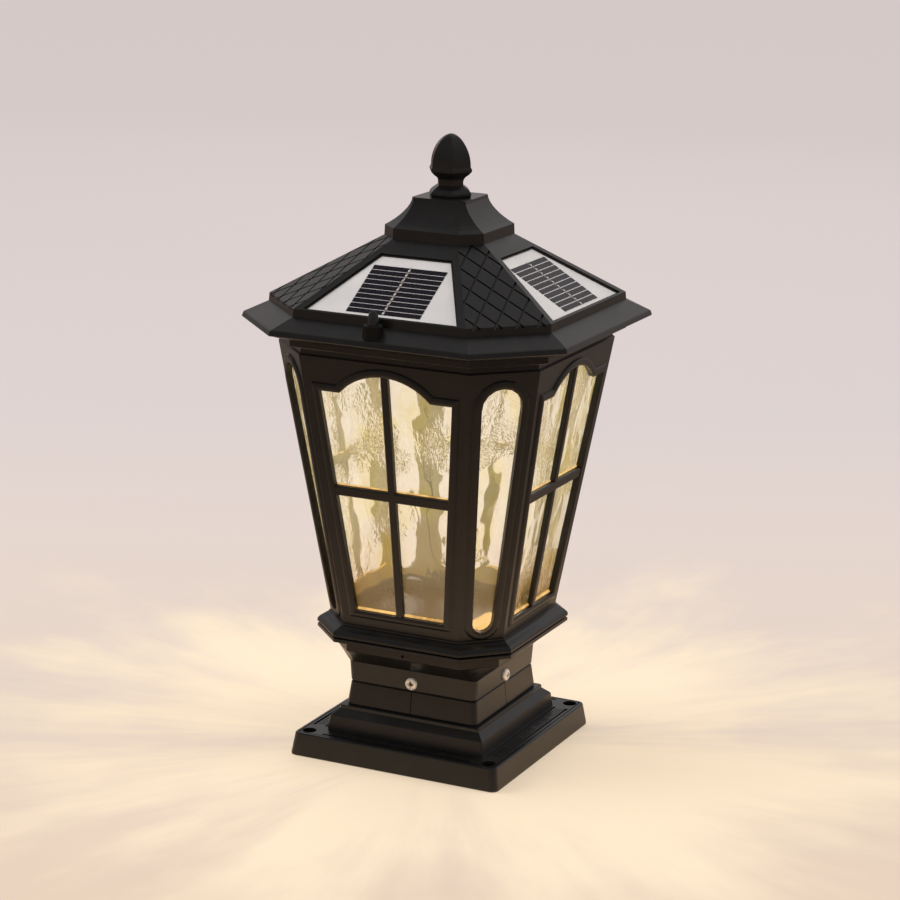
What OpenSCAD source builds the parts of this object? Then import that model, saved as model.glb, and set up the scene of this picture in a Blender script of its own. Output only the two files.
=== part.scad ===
// Solar post lantern: cast base, neck, glazed octagonal cage and solar roof.
// Millimetres, Z up, the origin at the middle of the underside, the front face towards -Y.

/* [Base] */
// Width of the flange where it meets the floor
base_w = 161.4; // [150:0.2:200]
// Width of the flange across its top edge
base_top_w = 157.2; // [150:0.2:160]
// Height of the flange
base_h = 16; // [12:0.5:24]
// Radius of the flange's upright corners
base_corner_r = 5; // [4:0.5:14]
// Wall of the base casting
base_wall = 3.5; // [2.5:0.5:5]
// Distance between the mounting holes, both ways
bolt_pitch = 140; // [132:1:142]
// Diameter of the mounting holes
bolt_d = 10; // [6:0.5:12]
// Width of the plinth at its foot
plinth_w = 122; // [116:1:124]
// Width of the plinth's side at its shoulder
plinth_shoulder_w = 119.2; // [114:0.2:122]
// Width of the plinth's top
plinth_top_w = 108.8; // [106:0.2:112]
// Height of the plinth's upright side
plinth_side_h = 10.6; // [6:0.2:16]
// Height of the plinth's sloped shoulder
plinth_slope_h = 4.2; // [2:0.2:8]
// Height of the small lip above the slope
plinth_lip_h = 2.4; // [1:0.2:4]

/* [Fret] */
// Distance of the border groove from the flange's top edge
border_in = 2.3; // [1.5:0.1:4]
// Width of the border groove
border_w = 0.9; // [0.5:0.1:1.5]
// Depth of the fret in the flange
fret_depth = 0.9; // [0.4:0.1:1.5]
// Width of a raised line of the fret
fret_rib = 1.4; // [0.8:0.1:2]
// Length of one repeat of the fret
fret_pitch = 23; // [16:0.5:30]
// Length of the solid block between two repeats
fret_block = 3.6; // [2:0.2:6]

/* [Neck] */
// Width of the collar block at its foot
collar_foot_w = 102; // [98:0.5:104]
// Width of the collar block at its top
collar_top_w = 98.4; // [96:0.2:102]
// Height of the collar block
collar_h = 16.8; // [12:0.2:24]
// Corner radius of the neck blocks
neck_corner_r = 4; // [2:0.5:6]
// Wall of the neck castings
neck_wall = 3; // [2:0.5:4]
// Height of the dark seam above the collar
seam_h = 0.8; // [0.4:0.1:1.5]
// Depth of the dark seam above the collar
seam_depth = 1.2; // [0.6:0.1:2]
// Height of the fitter's square block
block_h = 15.4; // [12:0.2:24]
// Width of the fitter's square block at its top
block_w = 100; // [97:0.5:104]
// Height of the throat that widens above the block
throat_h = 12; // [8:0.2:18]
// Hollow of the throat below a straight slope
throat_hollow = 0.6; // [0:0.1:2]
// Height of the octagonal drum above the throat
drum_h = 9.3; // [6:0.1:14]
// Width of the drum across its flat sides
drum_w = 128.8; // [120:0.2:136]
// Corner cut of the drum
drum_cut = 20.6; // [16:0.2:26]
// Thickness of the rim above the drum
rim_h = 2.6; // [2:0.1:5]
// Width of the rim across its flat sides
rim_w = 151; // [144:0.2:152]
// Corner cut of the rim
rim_cut = 27; // [20:0.5:32]
// Outer diameter of the stub that the neck stands over
stub_d = 76.2; // [70:0.2:80]
// Wall of the stub
stub_wall = 2.5; // [1.5:0.5:4]
// Reach of the stub above the fitter's foot
stub_reach = 26; // [16:1:30]
// Thickness of the stub's foot plate
stub_plate_t = 4; // [3:0.5:6]

/* [Screws] */
// Diameter of the bright neck screws' heads
neck_head_d = 9; // [8:0.1:10]
// Diameter of the neck screws' shanks
neck_shank_d = 4; // [3:0.1:5]
// Height of the neck screws above the fitter's foot
neck_screw_rise = 6; // [5:0.5:9]
// Diameter of the inner screws' heads
inner_head_d = 7; // [6:0.1:8]
// Diameter of the inner screws' shanks
inner_shank_d = 3.6; // [3:0.1:4.4]
// Diameter of the small roof screws' heads
roof_head_d = 5.4; // [4.6:0.1:5.6]
// Diameter of the small roof screws' shanks
roof_shank_d = 2.8; // [2.2:0.1:3.4]

/* [Cage] */
// Width of the cage at its foot
cage_foot_w = 134.6; // [128:0.2:140]
// Corner cut of the cage at its foot
cage_foot_cut = 23.2; // [20:0.2:26]
// Width of the cage at its top
cage_top_w = 198.2; // [190:0.2:206]
// Corner cut of the cage at its top
cage_top_cut = 35.2; // [32:0.2:40]
// Height of the tapered cage
cage_h = 196.1; // [170:0.5:230]
// Wall of the cage
cage_wall = 3; // [2:0.5:4]
// Width of the skirt at the cage's foot
skirt_w = 151.3; // [148:0.1:154]
// Corner cut of the skirt
skirt_cut = 26.9; // [24:0.1:30]
// Height of the skirt
skirt_h = 9; // [7:0.1:14]
// Height of the shadow gap under the skirt
skirt_gap = 1.1; // [0.6:0.1:3]

/* [Windows] */
// Post left beside each wide window
post_w = 11.4; // [9:0.2:15]
// Height of the sill above the cage's foot
sill_h = 11.5; // [9:0.5:20]
// Wall left above the arch of a wide window
head_h = 9.7; // [9.2:0.1:16]
// Rise of the arch above its shoulders
arch_rise = 14.8; // [8:0.2:22]
// Flat shoulder on each side of the arch
shoulder_w = 16; // [10:0.5:22]
// Width of the upright glazing bar
bar_w = 5.4; // [4:0.2:8]
// Height of the level glazing bar
cross_bar_h = 7; // [4:0.2:10]
// Width of the raised bead round a window
bead_w = 5.7; // [4:0.1:7]
// Height of the raised bead
bead_h = 1.7; // [1:0.1:2.4]
// Wall left beside each corner window
corner_post_w = 9.5; // [8:0.1:11]
// Wall left under each corner window
corner_sill_h = 5.7; // [5:0.1:12]
// Wall left above each corner window
corner_head_h = 11.6; // [9:0.1:18]
// Thickness of the glass
pane_t = 2.4; // [1.6:0.2:3]

/* [Eaves] */
// Height of the recessed neck between the cage and the eaves band
eaves_neck_h = 5.5; // [3.5:0.1:9]
// Width of the eaves band
eaves_band_w = 211.8; // [206:0.2:216]
// Corner cut of the eaves band
eaves_band_cut = 39; // [36:0.2:44]
// Height of the eaves band
eaves_band_h = 4.2; // [3:0.1:7]
// Rise of the sloped soffit outside the band
soffit_h = 5.3; // [4:0.1:8]
// Sheet thickness of the eaves tray
tray_t = 2.5; // [2:0.1:3.5]

/* [Roof] */
// Width of the roof at its lip
roof_w = 244.4; // [236:0.2:254]
// Corner cut of the roof at its lip
roof_cut = 48; // [44:0.2:54]
// Height of the upright lip
lip_h = 4.1; // [3:0.1:7]
// Inward lean of the lip, each side
lip_lean = 0.8; // [0:0.1:1.6]
// Rise of the brim
brim_rise = 7.2; // [5:0.1:10]
// Width of the raised step that carries the panels
step_w = 212.8; // [206:0.2:216]
// Corner cut of the raised step
step_cut = 42; // [38:0.2:46]
// Height of the raised step
step_h = 5.6; // [4:0.1:9]
// Rise of the panel slopes
slope_rise = 40.6; // [30:0.1:50]
// Wall of the roof's brim and crown
roof_wall = 2.8; // [2:0.1:3.4]
// Thickness of the deck under the panels
deck_t = 5.8; // [5.2:0.1:8]
// Width of the crown
crown_w = 75.8; // [68:0.2:84]
// Corner cut of the crown
crown_cut = 13.2; // [10:0.2:16]
// Height of the crown's upright band
crown_band_h = 7.1; // [5:0.1:10]
// Height of the crown's hollow curve
crown_cove_h = 19.6; // [14:0.1:26]
// Width of the crown's flat top
crown_top_w = 40.2; // [36:0.2:46]
// Corner cut of the crown's flat top
crown_top_cut = 2.2; // [1:0.1:4]
// Width across one diamond of the lattice
lattice_w = 15.1; // [10:0.1:20]
// Height of one diamond of the lattice
lattice_h = 23.6; // [16:0.1:30]
// Height of the lattice's lowest crossing up the slope
lattice_start = 14.7; // [8:0.1:20]
// Width of a lattice groove
groove_w = 1.4; // [0.8:0.1:2]
// Depth of a lattice groove
groove_depth = 1.5; // [0.4:0.1:2]

/* [Solar panels] */
// Deck left beside a panel
panel_margin = 5.9; // [4:0.1:9]
// Deck left under a panel
panel_foot = 1.8; // [1:0.1:4]
// Length of a panel up the slope
panel_len = 62; // [56:0.5:68]
// Thickness of a panel
panel_t = 1.8; // [1.2:0.1:2.2]
// Depth of a panel's face below the deck
panel_sink = 2; // [1:0.1:2.4]
// Gap round a panel in its pocket
panel_gap = 0.5; // [0.3:0.1:1]
// Width of the field of cells
cell_field_w = 54.8; // [44:0.2:58]
// Height of the lowest cell above the panel's foot
cell_foot = 4; // [2:0.2:8]
// Distance from one row of cells to the next
cell_pitch = 4.86; // [4:0.02:5]
// Rows of cells on a panel
cell_rows = 10; // [6:1:11]
// Gap between two rows of cells
cell_gap = 0.9; // [0.5:0.1:1.4]
// Width of the strip between the two columns of cells
busbar_w = 1.5; // [0.8:0.1:2.4]
// Thickness of a cell
cell_t = 0.35; // [0.2:0.05:0.5]

/* [Finial] */
// Height of the finial
finial_h = 42.8; // [36:0.1:50]
// Radius of the finial to the points of its rim
finial_r = 16.3; // [14:0.1:18]
// Radius of the finial's waist
waist_r = 9.7; // [8:0.1:12]
// Radius of the finial's foot
foot_r = 15.9; // [13:0.1:17]
// Diameter of the bolt inside the finial
finial_bolt_d = 6; // [4:0.5:8]

/* [Switch] */
// Distance of the switch in front of the middle
switch_reach = 113.5; // [112.5:0.1:114.5]
// Radius of the switch boss at its foot
boss_foot_r = 6.9; // [6.6:0.1:7.2]
// Radius of the switch boss at its top
boss_top_r = 6.3; // [6.2:0.1:6.6]
// Height of the boss above the roof's step line
boss_rise = 2.8; // [2:0.1:5]
// Radius of the push button
button_r = 4; // [3.4:0.1:4.2]
// Height of the button above its boss
button_rise = 10.1; // [6:0.1:12]
// Travel of the push button
button_travel = 2; // [1:0.1:2.4]
// Running gap round the button
button_gap = 0.2; // [0.1:0.05:0.3]

/* [Light and battery] */
// Diameter of the light's circuit board
led_board_d = 68; // [60:1:72]
// Number of light chips
led_count = 8; // [4:1:12]
// Diameter of the light's cover
led_cover_d = 88; // [80:1:100]
// Depth of the light's cover
led_cover_h = 9; // [7:0.5:14]
// Diameter of a battery cell
cell_d = 18.4; // [14:0.1:20]
// Length of a battery cell
cell_l = 65; // [50:0.5:70]
// Length of the control board
board_l = 60; // [40:1:70]
// Width of the control board
board_w = 38; // [30:1:44]

/* [Hidden] */

casting_black = "#1d1c1b";
bright_steel = "#c9c4ba";
cream_glass = [0.93, 0.88, 0.72, 0.45];

// Small working gap between pieces that slide together
slip = 0.4;
// Gap between two castings that meet at an edge
edge_gap = 0.3;
// Overlap that joins or cuts cleanly
eps = 0.01;
// Extra length of a cutting tool past a face
past = 1;
// Steps round a rounded corner
corner_steps = 4;
// Steps along a hollow or rounded profile
curve_steps = 8;
// Gap round a shank in its hole
shank_gap = 0.1;

// Heights of the joints, from the floor up
z_flange = base_h;
z_shoulder = z_flange + plinth_side_h;
z_slope = z_shoulder + plinth_slope_h;
z_plinth = z_slope + plinth_lip_h;
z_collar = z_plinth + collar_h;
z_block = z_collar + block_h;
z_throat = z_block + throat_h;
z_drum = z_throat + drum_h;
z_rim = z_drum + rim_h;
z_skirt = z_rim + skirt_gap;
z_cage = z_skirt + skirt_h;
z_eaves = z_cage + cage_h;
z_band = z_eaves + eaves_neck_h;
z_soffit = z_band + eaves_band_h;
z_lip_foot = z_soffit + soffit_h;
z_lip = z_lip_foot + lip_h;
z_step = z_lip + brim_rise;
z_slope_foot = z_step + step_h;
z_crown = z_slope_foot + slope_rise;
z_crown_band = z_crown + crown_band_h;
z_crown_top = z_crown_band + crown_cove_h;

// Lean of the cage's walls, wide sides and corner sides
function face_reach(half, cut) = (2 * half - cut) / sqrt(2);
cage_lean = atan((cage_top_w - cage_foot_w) / 2 / cage_h);
corner_foot_reach = face_reach(cage_foot_w / 2, cage_foot_cut);
corner_top_reach = face_reach(cage_top_w / 2, cage_top_cut);
corner_lean = atan((corner_top_reach - corner_foot_reach) / cage_h);
// Pitch of the panel slopes, wide sides and corner sides
slope_run = (step_w / 2 - lip_lean / 2) - crown_w / 2;
slope_pitch = atan(slope_rise / slope_run);
slope_len = slope_rise / sin(slope_pitch);
slope_foot_half = crown_w / 2 + slope_run;
corner_slope_foot = face_reach(slope_foot_half, step_cut);
corner_slope_top = face_reach(crown_w / 2, crown_cut);
corner_pitch = atan(slope_rise / (corner_slope_foot - corner_slope_top));
corner_slope_len = slope_rise / sin(corner_pitch);

// One ring of points round a square with cut or rounded corners.
// half is half the width, cut the length taken off each corner, soft goes from 0, a flat
// cut, to 1, a round corner, and steps is the number of pieces along each corner.
function corner_point(half, cut, soft, t) =
  let (flat = [half - cut + cut * t, -half + cut * t])
  let (bow = [half - cut + cut * sin(90 * t), -(half - cut) - cut * cos(90 * t)])
  flat * (1 - soft) + bow * soft;
function quarter_turn(p, k) = [p.x * cos(90 * k) - p.y * sin(90 * k),
                               p.x * sin(90 * k) + p.y * cos(90 * k)];
function soft_ring(half, cut, soft, steps, z) =
  [for (k = [0 : 3]) for (j = [0 : steps])
    let (p = quarter_turn(corner_point(half, cut, soft, j / steps), k)) [p.x, p.y, z]];
function octagon_ring(half, cut, z) = soft_ring(half, cut, 0, 1, z);
function round_ring(half, radius, z) = soft_ring(half, radius, 1, corner_steps, z);
function mix(a, b, t) = a + (b - a) * t;
// A corner cut that keeps an inner octagon parallel to the outer one
function inner_cut(cut, inset) = cut - (2 - sqrt(2)) * inset;

// A closed solid through a stack of rings with the same number of points
module loft(rings) {
  n = len(rings[0]);
  m = len(rings);
  sides = [for (i = [0 : m - 2]) for (j = [0 : n - 1])
    let (a = i * n + j, b = i * n + (j + 1) % n, c = b + n, d = a + n)
    each [[a, d, c], [a, c, b]]];
  middles = [for (r = [rings[0], rings[m - 1]]) [for (axis = [0 : 2])
    let (half = floor(n / 2)) (r[0][axis] + r[half][axis]) / 2]];
  caps = [for (j = [0 : n - 1]) let (b = (j + 1) % n)
    each [[j, b, m * n], [(m - 1) * n + b, (m - 1) * n + j, m * n + 1]]];
  polyhedron(points = concat([for (r = rings) each r], middles), faces = concat(caps, sides),
             convexity = 6);
}

// A closed loop of moulding through a cycle of rings
module loop_loft(rings) {
  n = len(rings[0]);
  m = len(rings);
  sides = [for (i = [0 : m - 1]) for (j = [0 : n - 1])
    let (next = ((i + 1) % m) * n, a = i * n + j, b = i * n + (j + 1) % n)
    let (c = next + (j + 1) % n, d = next + j)
    each [[a, c, d], [a, b, c]]];
  polyhedron(points = [for (r = rings) each r], faces = sides, convexity = 6);
}

// Turns what is drawn at the front to one of the four wide sides or the four corners
module on_side(k) {
  rotate([0, 0, 90 * k]) children();
}
module on_corner(k) {
  rotate([0, 0, 45 + 90 * k]) children();
}
module on_all_sides() {
  for (k = [0 : 3]) on_side(k) children();
}
module on_all_corners() {
  for (k = [0 : 3]) on_corner(k) children();
}
// Repeats what is drawn once in each quarter of a square pattern
module on_square(spread) {
  for (k = [0 : 3]) rotate([0, 0, 90 * k]) translate([spread, -spread, 0]) children();
}

// Lays a flat drawing on an outward leaning wall, x across, y up the wall, z outwards
module on_leaning_wall(reach, z, lean) {
  translate([0, -reach, z]) rotate([90 + lean, 0, 0]) children();
}
// Lays a flat drawing on a roof slope, x across, y up the slope, z outwards
module on_slope(reach, z, pitch) {
  translate([0, -reach, z]) rotate([pitch, 0, 0]) children();
}

// A pan-head screw with its head's underside at z = 0 and its shank pointing down
module pan_screw(head_d, shank_d, length) {
  head_h = head_d * 0.32;
  recess_w = head_d * 0.15;
  recess_l = head_d * 0.6;
  recess_depth = head_h * 0.6;
  pit_r = head_d * 0.2;
  difference() {
    union() {
      rotate_extrude($fn = 40)
        polygon([[0, 0], [head_d / 2, 0], [head_d / 2, head_h * 0.45],
                 [head_d * 0.44, head_h * 0.75], [head_d * 0.3, head_h * 0.95], [0, head_h]]);
      translate([0, 0, -length]) cylinder(d = shank_d, h = length + eps, $fn = 32);
    }
    for (turn = [0, 90]) rotate([0, 0, turn])
      translate([-recess_l / 2, -recess_w / 2, head_h - recess_depth])
        cube([recess_l, recess_w, recess_depth + past]);
    translate([0, 0, head_h - recess_depth])
      cylinder(r1 = pit_r * 0.8, r2 = pit_r * 1.3, h = recess_depth + past, $fn = 24);
  }
}

// Places shared by the base, the stub and the collar
foot_bolt = bolt_pitch / 2;
bolt_boss_r = bolt_d / 2 + 3.5;
plinth_deck_t = base_wall;
stub_r = stub_d / 2;
stub_plate_half = collar_top_w / 2 - neck_wall - slip;
stub_screw_at = stub_plate_half - inner_head_d / 2 - 1.6;
stub_screw_bite = 7;
stub_screw_l = stub_plate_t + stub_screw_bite + 3 * past;
stub_boss_r = inner_shank_d / 2 + 3;

// The fret is drawn on one side of the flange, between the plinth and the border
fret_in = plinth_w / 2 + 1.6;
border_half = base_top_w / 2 - border_in;
border_r = base_corner_r - border_in;
fret_out = border_half - border_w - fret_rib;
fret_len = 2 * (foot_bolt - bolt_d / 2 - 7);
fret_count = floor(fret_len / fret_pitch);
module fret_lines() {
  band = fret_out - fret_in;
  rail_in = band * 0.15;
  rail_out = band * 0.8;
  lane = (rail_out - rail_in - fret_rib) / 3;
  run = fret_count * fret_pitch;
  difference() {
    translate([-fret_len / 2, -fret_out]) square([fret_len, band]);
    for (k = [0 : 3])
      translate([-fret_len / 2 + fret_rib, -fret_in - rail_in - fret_rib - lane * k])
        square([fret_len - 2 * fret_rib, fret_rib]);
    for (k = [0 : fret_count])
      translate([-run / 2 + k * fret_pitch - fret_block / 2, -fret_in - rail_out])
        square([fret_block, rail_out - rail_in]);
  }
}

module base_flange() {
  inner_half = base_top_w / 2 - base_wall;
  plinth_inner = plinth_top_w / 2 - base_wall;
  color(casting_black) difference() {
    union() {
      loft([round_ring(base_w / 2, base_corner_r, 0),
            round_ring(base_w / 2, base_corner_r, 1.2),
            round_ring(base_top_w / 2, base_corner_r, z_flange - 0.8),
            round_ring(base_top_w / 2 - 0.8, base_corner_r - 0.8, z_flange)]);
      loft([octagon_ring(plinth_w / 2, 1, z_flange - 1),
            octagon_ring(plinth_shoulder_w / 2, 1, z_shoulder - 0.6),
            octagon_ring(plinth_shoulder_w / 2 - 0.5, 1, z_shoulder),
            octagon_ring(plinth_top_w / 2, 1, z_slope),
            octagon_ring(plinth_top_w / 2, 1, z_plinth - 0.5),
            octagon_ring(plinth_top_w / 2 - 0.5, 1, z_plinth)]);
    }
    difference() {
      union() {
        loft([round_ring(inner_half, base_corner_r - base_wall, -past),
              round_ring(inner_half, base_corner_r - base_wall, z_flange - base_wall)]);
        loft([octagon_ring(plinth_inner, 2, 1),
              octagon_ring(plinth_inner, 2, z_plinth - plinth_deck_t)]);
      }
      on_square(foot_bolt) translate([0, 0, -past])
        cylinder(r = bolt_boss_r, h = z_flange, $fn = 48);
      on_square(stub_screw_at) translate([0, 0, z_plinth - stub_screw_l])
        cylinder(r = stub_boss_r, h = stub_screw_l, $fn = 32);
    }
    on_square(foot_bolt) translate([0, 0, -past])
      cylinder(d = bolt_d, h = z_flange + 2 * past, $fn = 48);
    on_square(stub_screw_at) translate([0, 0, z_plinth - stub_screw_l + 2])
      cylinder(d = inner_shank_d + 2 * shank_gap, h = stub_screw_l, $fn = 32);
    translate([0, 0, z_plinth - plinth_deck_t - past])
      cylinder(r = stub_r - stub_wall - 4, h = plinth_deck_t + 2 * past, $fn = 72);
    on_all_sides() translate([0, 0, z_flange - fret_depth])
      linear_extrude(fret_depth + past) fret_lines();
    translate([0, 0, z_flange - fret_depth]) linear_extrude(fret_depth + past) difference() {
      polygon([for (p = round_ring(border_half, border_r, 0)) [p.x, p.y]]);
      polygon([for (p = round_ring(border_half - border_w, border_r - border_w, 0)) [p.x, p.y]]);
    }
  }
}

z_plate = z_plinth + stub_plate_t;
module post_stub() {
  color("#8f8f8c") difference() {
    union() {
      translate([0, 0, z_plinth]) cylinder(r = stub_r, h = collar_h + stub_reach, $fn = 96);
      translate([-stub_plate_half, -stub_plate_half, z_plinth])
        cube([2 * stub_plate_half, 2 * stub_plate_half, stub_plate_t]);
    }
    translate([0, 0, z_plinth - past])
      cylinder(r = stub_r - stub_wall, h = collar_h + stub_reach + 2 * past, $fn = 96);
    on_square(stub_screw_at) translate([0, 0, z_plinth - past])
      cylinder(d = inner_shank_d + 4 * shank_gap, h = stub_plate_t + 2 * past, $fn = 32);
  }
}

module stub_screws() {
  color(bright_steel) on_square(stub_screw_at) translate([0, 0, z_plate])
    pan_screw(inner_head_d, inner_shank_d, stub_plate_t + stub_screw_bite);
}

collar_lean = atan((collar_foot_w - collar_top_w) / 2 / collar_h);
seam_w = 0.6;
module neck_collar() {
  web_t = neck_wall;
  color(casting_black) difference() {
    loft([round_ring(collar_foot_w / 2 - 0.5, neck_corner_r, z_plinth),
          round_ring(collar_foot_w / 2, neck_corner_r, z_plinth + 0.8),
          round_ring(collar_top_w / 2, neck_corner_r, z_collar - 0.5),
          round_ring(collar_top_w / 2 - 0.5, neck_corner_r, z_collar)]);
    loft([round_ring(collar_foot_w / 2 - neck_wall, 2, z_plinth - past),
          round_ring(collar_top_w / 2 - neck_wall, 2, z_collar - web_t)]);
    translate([0, 0, z_plinth])
      cylinder(r = stub_r + slip, h = collar_h + past, $fn = 96);
    on_all_sides() on_leaning_wall(collar_foot_w / 2, z_plinth, -collar_lean)
      translate([-seam_w / 2, -past, -0.8]) cube([seam_w, collar_h + 2 * past, 2]);
  }
}

// The fitter runs from a square block through a throat to an octagonal drum and its rim
spigot_half = skirt_w / 2 - 3.6;
spigot_cut = inner_cut(skirt_cut, 3.6);
z_spigot = z_skirt + 1.5;
fitter_top_t = 3;
cage_screw_in = 25;
cage_screw_bite = 6;
cage_screw_at = cage_foot_w / 2 - cage_screw_in;
throat_steps = 4;
weep_d = 2;
neck_screw_z = z_collar + neck_screw_rise;
screw_face = collar_top_w / 2 - 0.2;
function throat_ring(t, inset) =
  let (half = mix(block_w, drum_w - 0.8, t) / 2 - throat_hollow * sin(180 * t) - inset)
  let (cut = mix(neck_corner_r, drum_cut, t))
  soft_ring(half, inner_cut(cut, inset), 1 - t, corner_steps, mix(z_block, z_throat, t));
function plain_ring(half, cut, z) = soft_ring(half, cut, 0, corner_steps, z);
module post_fitter() {
  rim_half = rim_w / 2;
  drum_half = drum_w / 2;
  foot_half = collar_top_w / 2;
  color(casting_black) difference() {
    union() {
      loft([round_ring(foot_half - seam_depth, neck_corner_r, z_collar),
            round_ring(foot_half - seam_depth, neck_corner_r, z_collar + seam_h),
            round_ring(foot_half - 0.3, neck_corner_r, z_collar + seam_h),
            round_ring(foot_half, neck_corner_r, z_collar + seam_h + 0.4),
            for (k = [0 : throat_steps]) throat_ring(k / throat_steps, 0),
            plain_ring(drum_half, drum_cut, z_throat + 0.5),
            plain_ring(drum_half, drum_cut, z_drum - 0.8),
            plain_ring(drum_half + 0.8, drum_cut + 0.5, z_drum),
            plain_ring(rim_half - 0.3, rim_cut, z_drum),
            plain_ring(rim_half, rim_cut, z_drum + 0.4),
            plain_ring(rim_half, rim_cut, z_rim - 0.4),
            plain_ring(rim_half - 0.4, rim_cut, z_rim),
            plain_ring(spigot_half, spigot_cut, z_rim),
            plain_ring(spigot_half, spigot_cut, z_spigot)]);
    }
    difference() {
      loft([round_ring(foot_half - neck_wall - 0.8, 3, z_collar - past),
            round_ring(foot_half - neck_wall - 0.8, 3, z_collar + 2),
            round_ring(block_w / 2 - neck_wall - 0.5, 3, z_block - 1),
            for (k = [1 : throat_steps]) throat_ring(k / throat_steps, neck_wall + 1),
            plain_ring(drum_half - neck_wall, inner_cut(drum_cut, neck_wall), z_throat + 1),
            plain_ring(drum_half - neck_wall, inner_cut(drum_cut, neck_wall),
                       z_spigot - fitter_top_t)]);
      on_all_sides() translate([0, -stub_r - slip, neck_screw_z]) rotate([90, 0, 0])
        cylinder(r = neck_shank_d / 2 + 3, h = block_w / 2 - stub_r, $fn = 40);
      on_square(cage_screw_at) translate([0, 0, z_throat + 2])
        cylinder(r = inner_shank_d / 2 + 3, h = z_spigot - z_throat, $fn = 32);
    }
    on_all_sides() translate([0, -stub_r + past, neck_screw_z]) rotate([90, 0, 0])
      cylinder(d = neck_shank_d + 2 * shank_gap, h = block_w / 2 - stub_r + past, $fn = 40);
    on_all_sides() translate([0, -screw_face, neck_screw_z]) rotate([90, 0, 0])
      cylinder(d = neck_head_d + 1.2, h = 4, $fn = 40);
    on_square(cage_screw_at) translate([0, 0, z_throat])
      cylinder(d = inner_shank_d + 4 * shank_gap, h = z_spigot - z_throat + past, $fn = 32);
    on_square(cage_screw_at) translate([0, 0, z_throat + 1])
      cylinder(d = inner_head_d + 2 * slip, h = z_spigot - fitter_top_t - z_throat - 1, $fn = 32);
    translate([0, -drum_half - past, z_throat + drum_h / 3]) rotate([-90, 0, 0])
      cylinder(d = weep_d, h = neck_wall + 2 * past, $fn = 24);
    translate([0, 0, z_spigot - fitter_top_t - past])
      cylinder(r = stub_r - stub_wall - 4, h = fitter_top_t + 2 * past, $fn = 72);
  }
}

module neck_screws() {
  color(bright_steel) on_all_sides() translate([0, -screw_face, neck_screw_z])
    rotate([90, 0, 0]) pan_screw(neck_head_d, neck_shank_d, screw_face - stub_r);
}

// The cage's outline at a height, followed down past its foot and up past its top
function cage_half(z) = mix(cage_foot_w, cage_top_w, (z - z_cage) / cage_h) / 2;
function cage_cut(z) = mix(cage_foot_cut, cage_top_cut, (z - z_cage) / cage_h);
function cage_ring(z, inset) =
  let (wide = inset / cos(cage_lean), narrow = inset / cos(corner_lean))
  octagon_ring(cage_half(z) - wide, cage_cut(z) - 2 * wide + sqrt(2) * narrow, z);
function wide_half(z) = cage_half(z) - cage_cut(z);
function narrow_half(z) = cage_cut(z) / sqrt(2);
floor_t = 3;
z_floor = z_spigot + floor_t;
cage_boss_h = 8;
pane_foot = z_floor + 0.3;
rib_gap = 0.3;
z_rib = z_floor + 7.5;
pane_back = cage_wall + pane_t + rib_gap;
rib_t = 2;

// A wide window, drawn flat. y = 0 is the cage's foot and grow widens the outline.
wall_len = cage_h / cos(cage_lean);
apex_y = wall_len - head_h;
shoulder_y = apex_y - arch_rise;
function wide_at(y) = wide_half(z_cage + y * cos(cage_lean)) - post_w;
cusp_x = wide_at(shoulder_y) - shoulder_w;
arch_r = (cusp_x * cusp_x + arch_rise * arch_rise) / (2 * arch_rise);
arch_y = apex_y - arch_r;
cross_y = (sill_h + apex_y) / 2 + 1;
function window_outline(grow) =
  let (r = arch_r + grow, top = shoulder_y + grow)
  let (sweep = acos((top - arch_y) / r))
  concat([[-wide_at(sill_h) - grow, sill_h - grow], [wide_at(sill_h) + grow, sill_h - grow],
          [wide_at(shoulder_y) + grow, top]],
         [for (k = [0 : 2 * curve_steps]) let (a = sweep * (1 - k / curve_steps))
           [r * sin(a), arch_y + r * cos(a)]],
         [[-wide_at(shoulder_y) - grow, top]]);

// A corner window, drawn flat: two round ends joined by straight sides
corner_len = cage_h / cos(corner_lean);
slot_taper = (narrow_half(z_eaves) - narrow_half(z_cage)) / corner_len;
slot_start = narrow_half(z_cage) - corner_post_w;
slot_top_y = corner_len - corner_head_h;
slot_low_r = (slot_start + slot_taper * corner_sill_h) / (1 - slot_taper);
slot_top_r = (slot_start + slot_taper * slot_top_y) / (1 + slot_taper);
slot_low_c = corner_sill_h + slot_low_r;
slot_top_c = slot_top_y - slot_top_r;
slot_turn = asin((slot_top_r - slot_low_r) / (slot_top_c - slot_low_c));
function slot_outline(grow) =
  concat([for (k = [0 : curve_steps])
           let (a = mix(180 + slot_turn, 360 - slot_turn, k / curve_steps))
           [(slot_low_r + grow) * cos(a), slot_low_c + (slot_low_r + grow) * sin(a)]],
         [for (k = [0 : curve_steps])
           let (a = mix(-slot_turn, 180 + slot_turn, k / curve_steps))
           [(slot_top_r + grow) * cos(a), slot_top_c + (slot_top_r + grow) * sin(a)]]);

// The rounded section of a bead: distance from the opening and height above the wall.
// It starts a little inside the opening, which then trims it.
bead_section = [[-0.06, -1], [-0.06, 0.5], [0.12, 0.85], [0.34, 1], [0.62, 0.95], [0.86, 0.6],
                [0.97, 0.12], [1, -1]];
module bead(outlines) {
  loop_loft([for (k = [0 : len(outlines) - 1])
    [for (p = outlines[k]) [p.x, p.y, bead_section[k][1] * (bead_section[k][1] < 0 ? 1 : bead_h)]]]);
}
module window_bead() {
  bead([for (s = bead_section) window_outline(s[0] * bead_w)]);
}
module slot_bead() {
  bead([for (s = bead_section) slot_outline(s[0] * (bead_w + 0.6))]);
}

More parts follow.
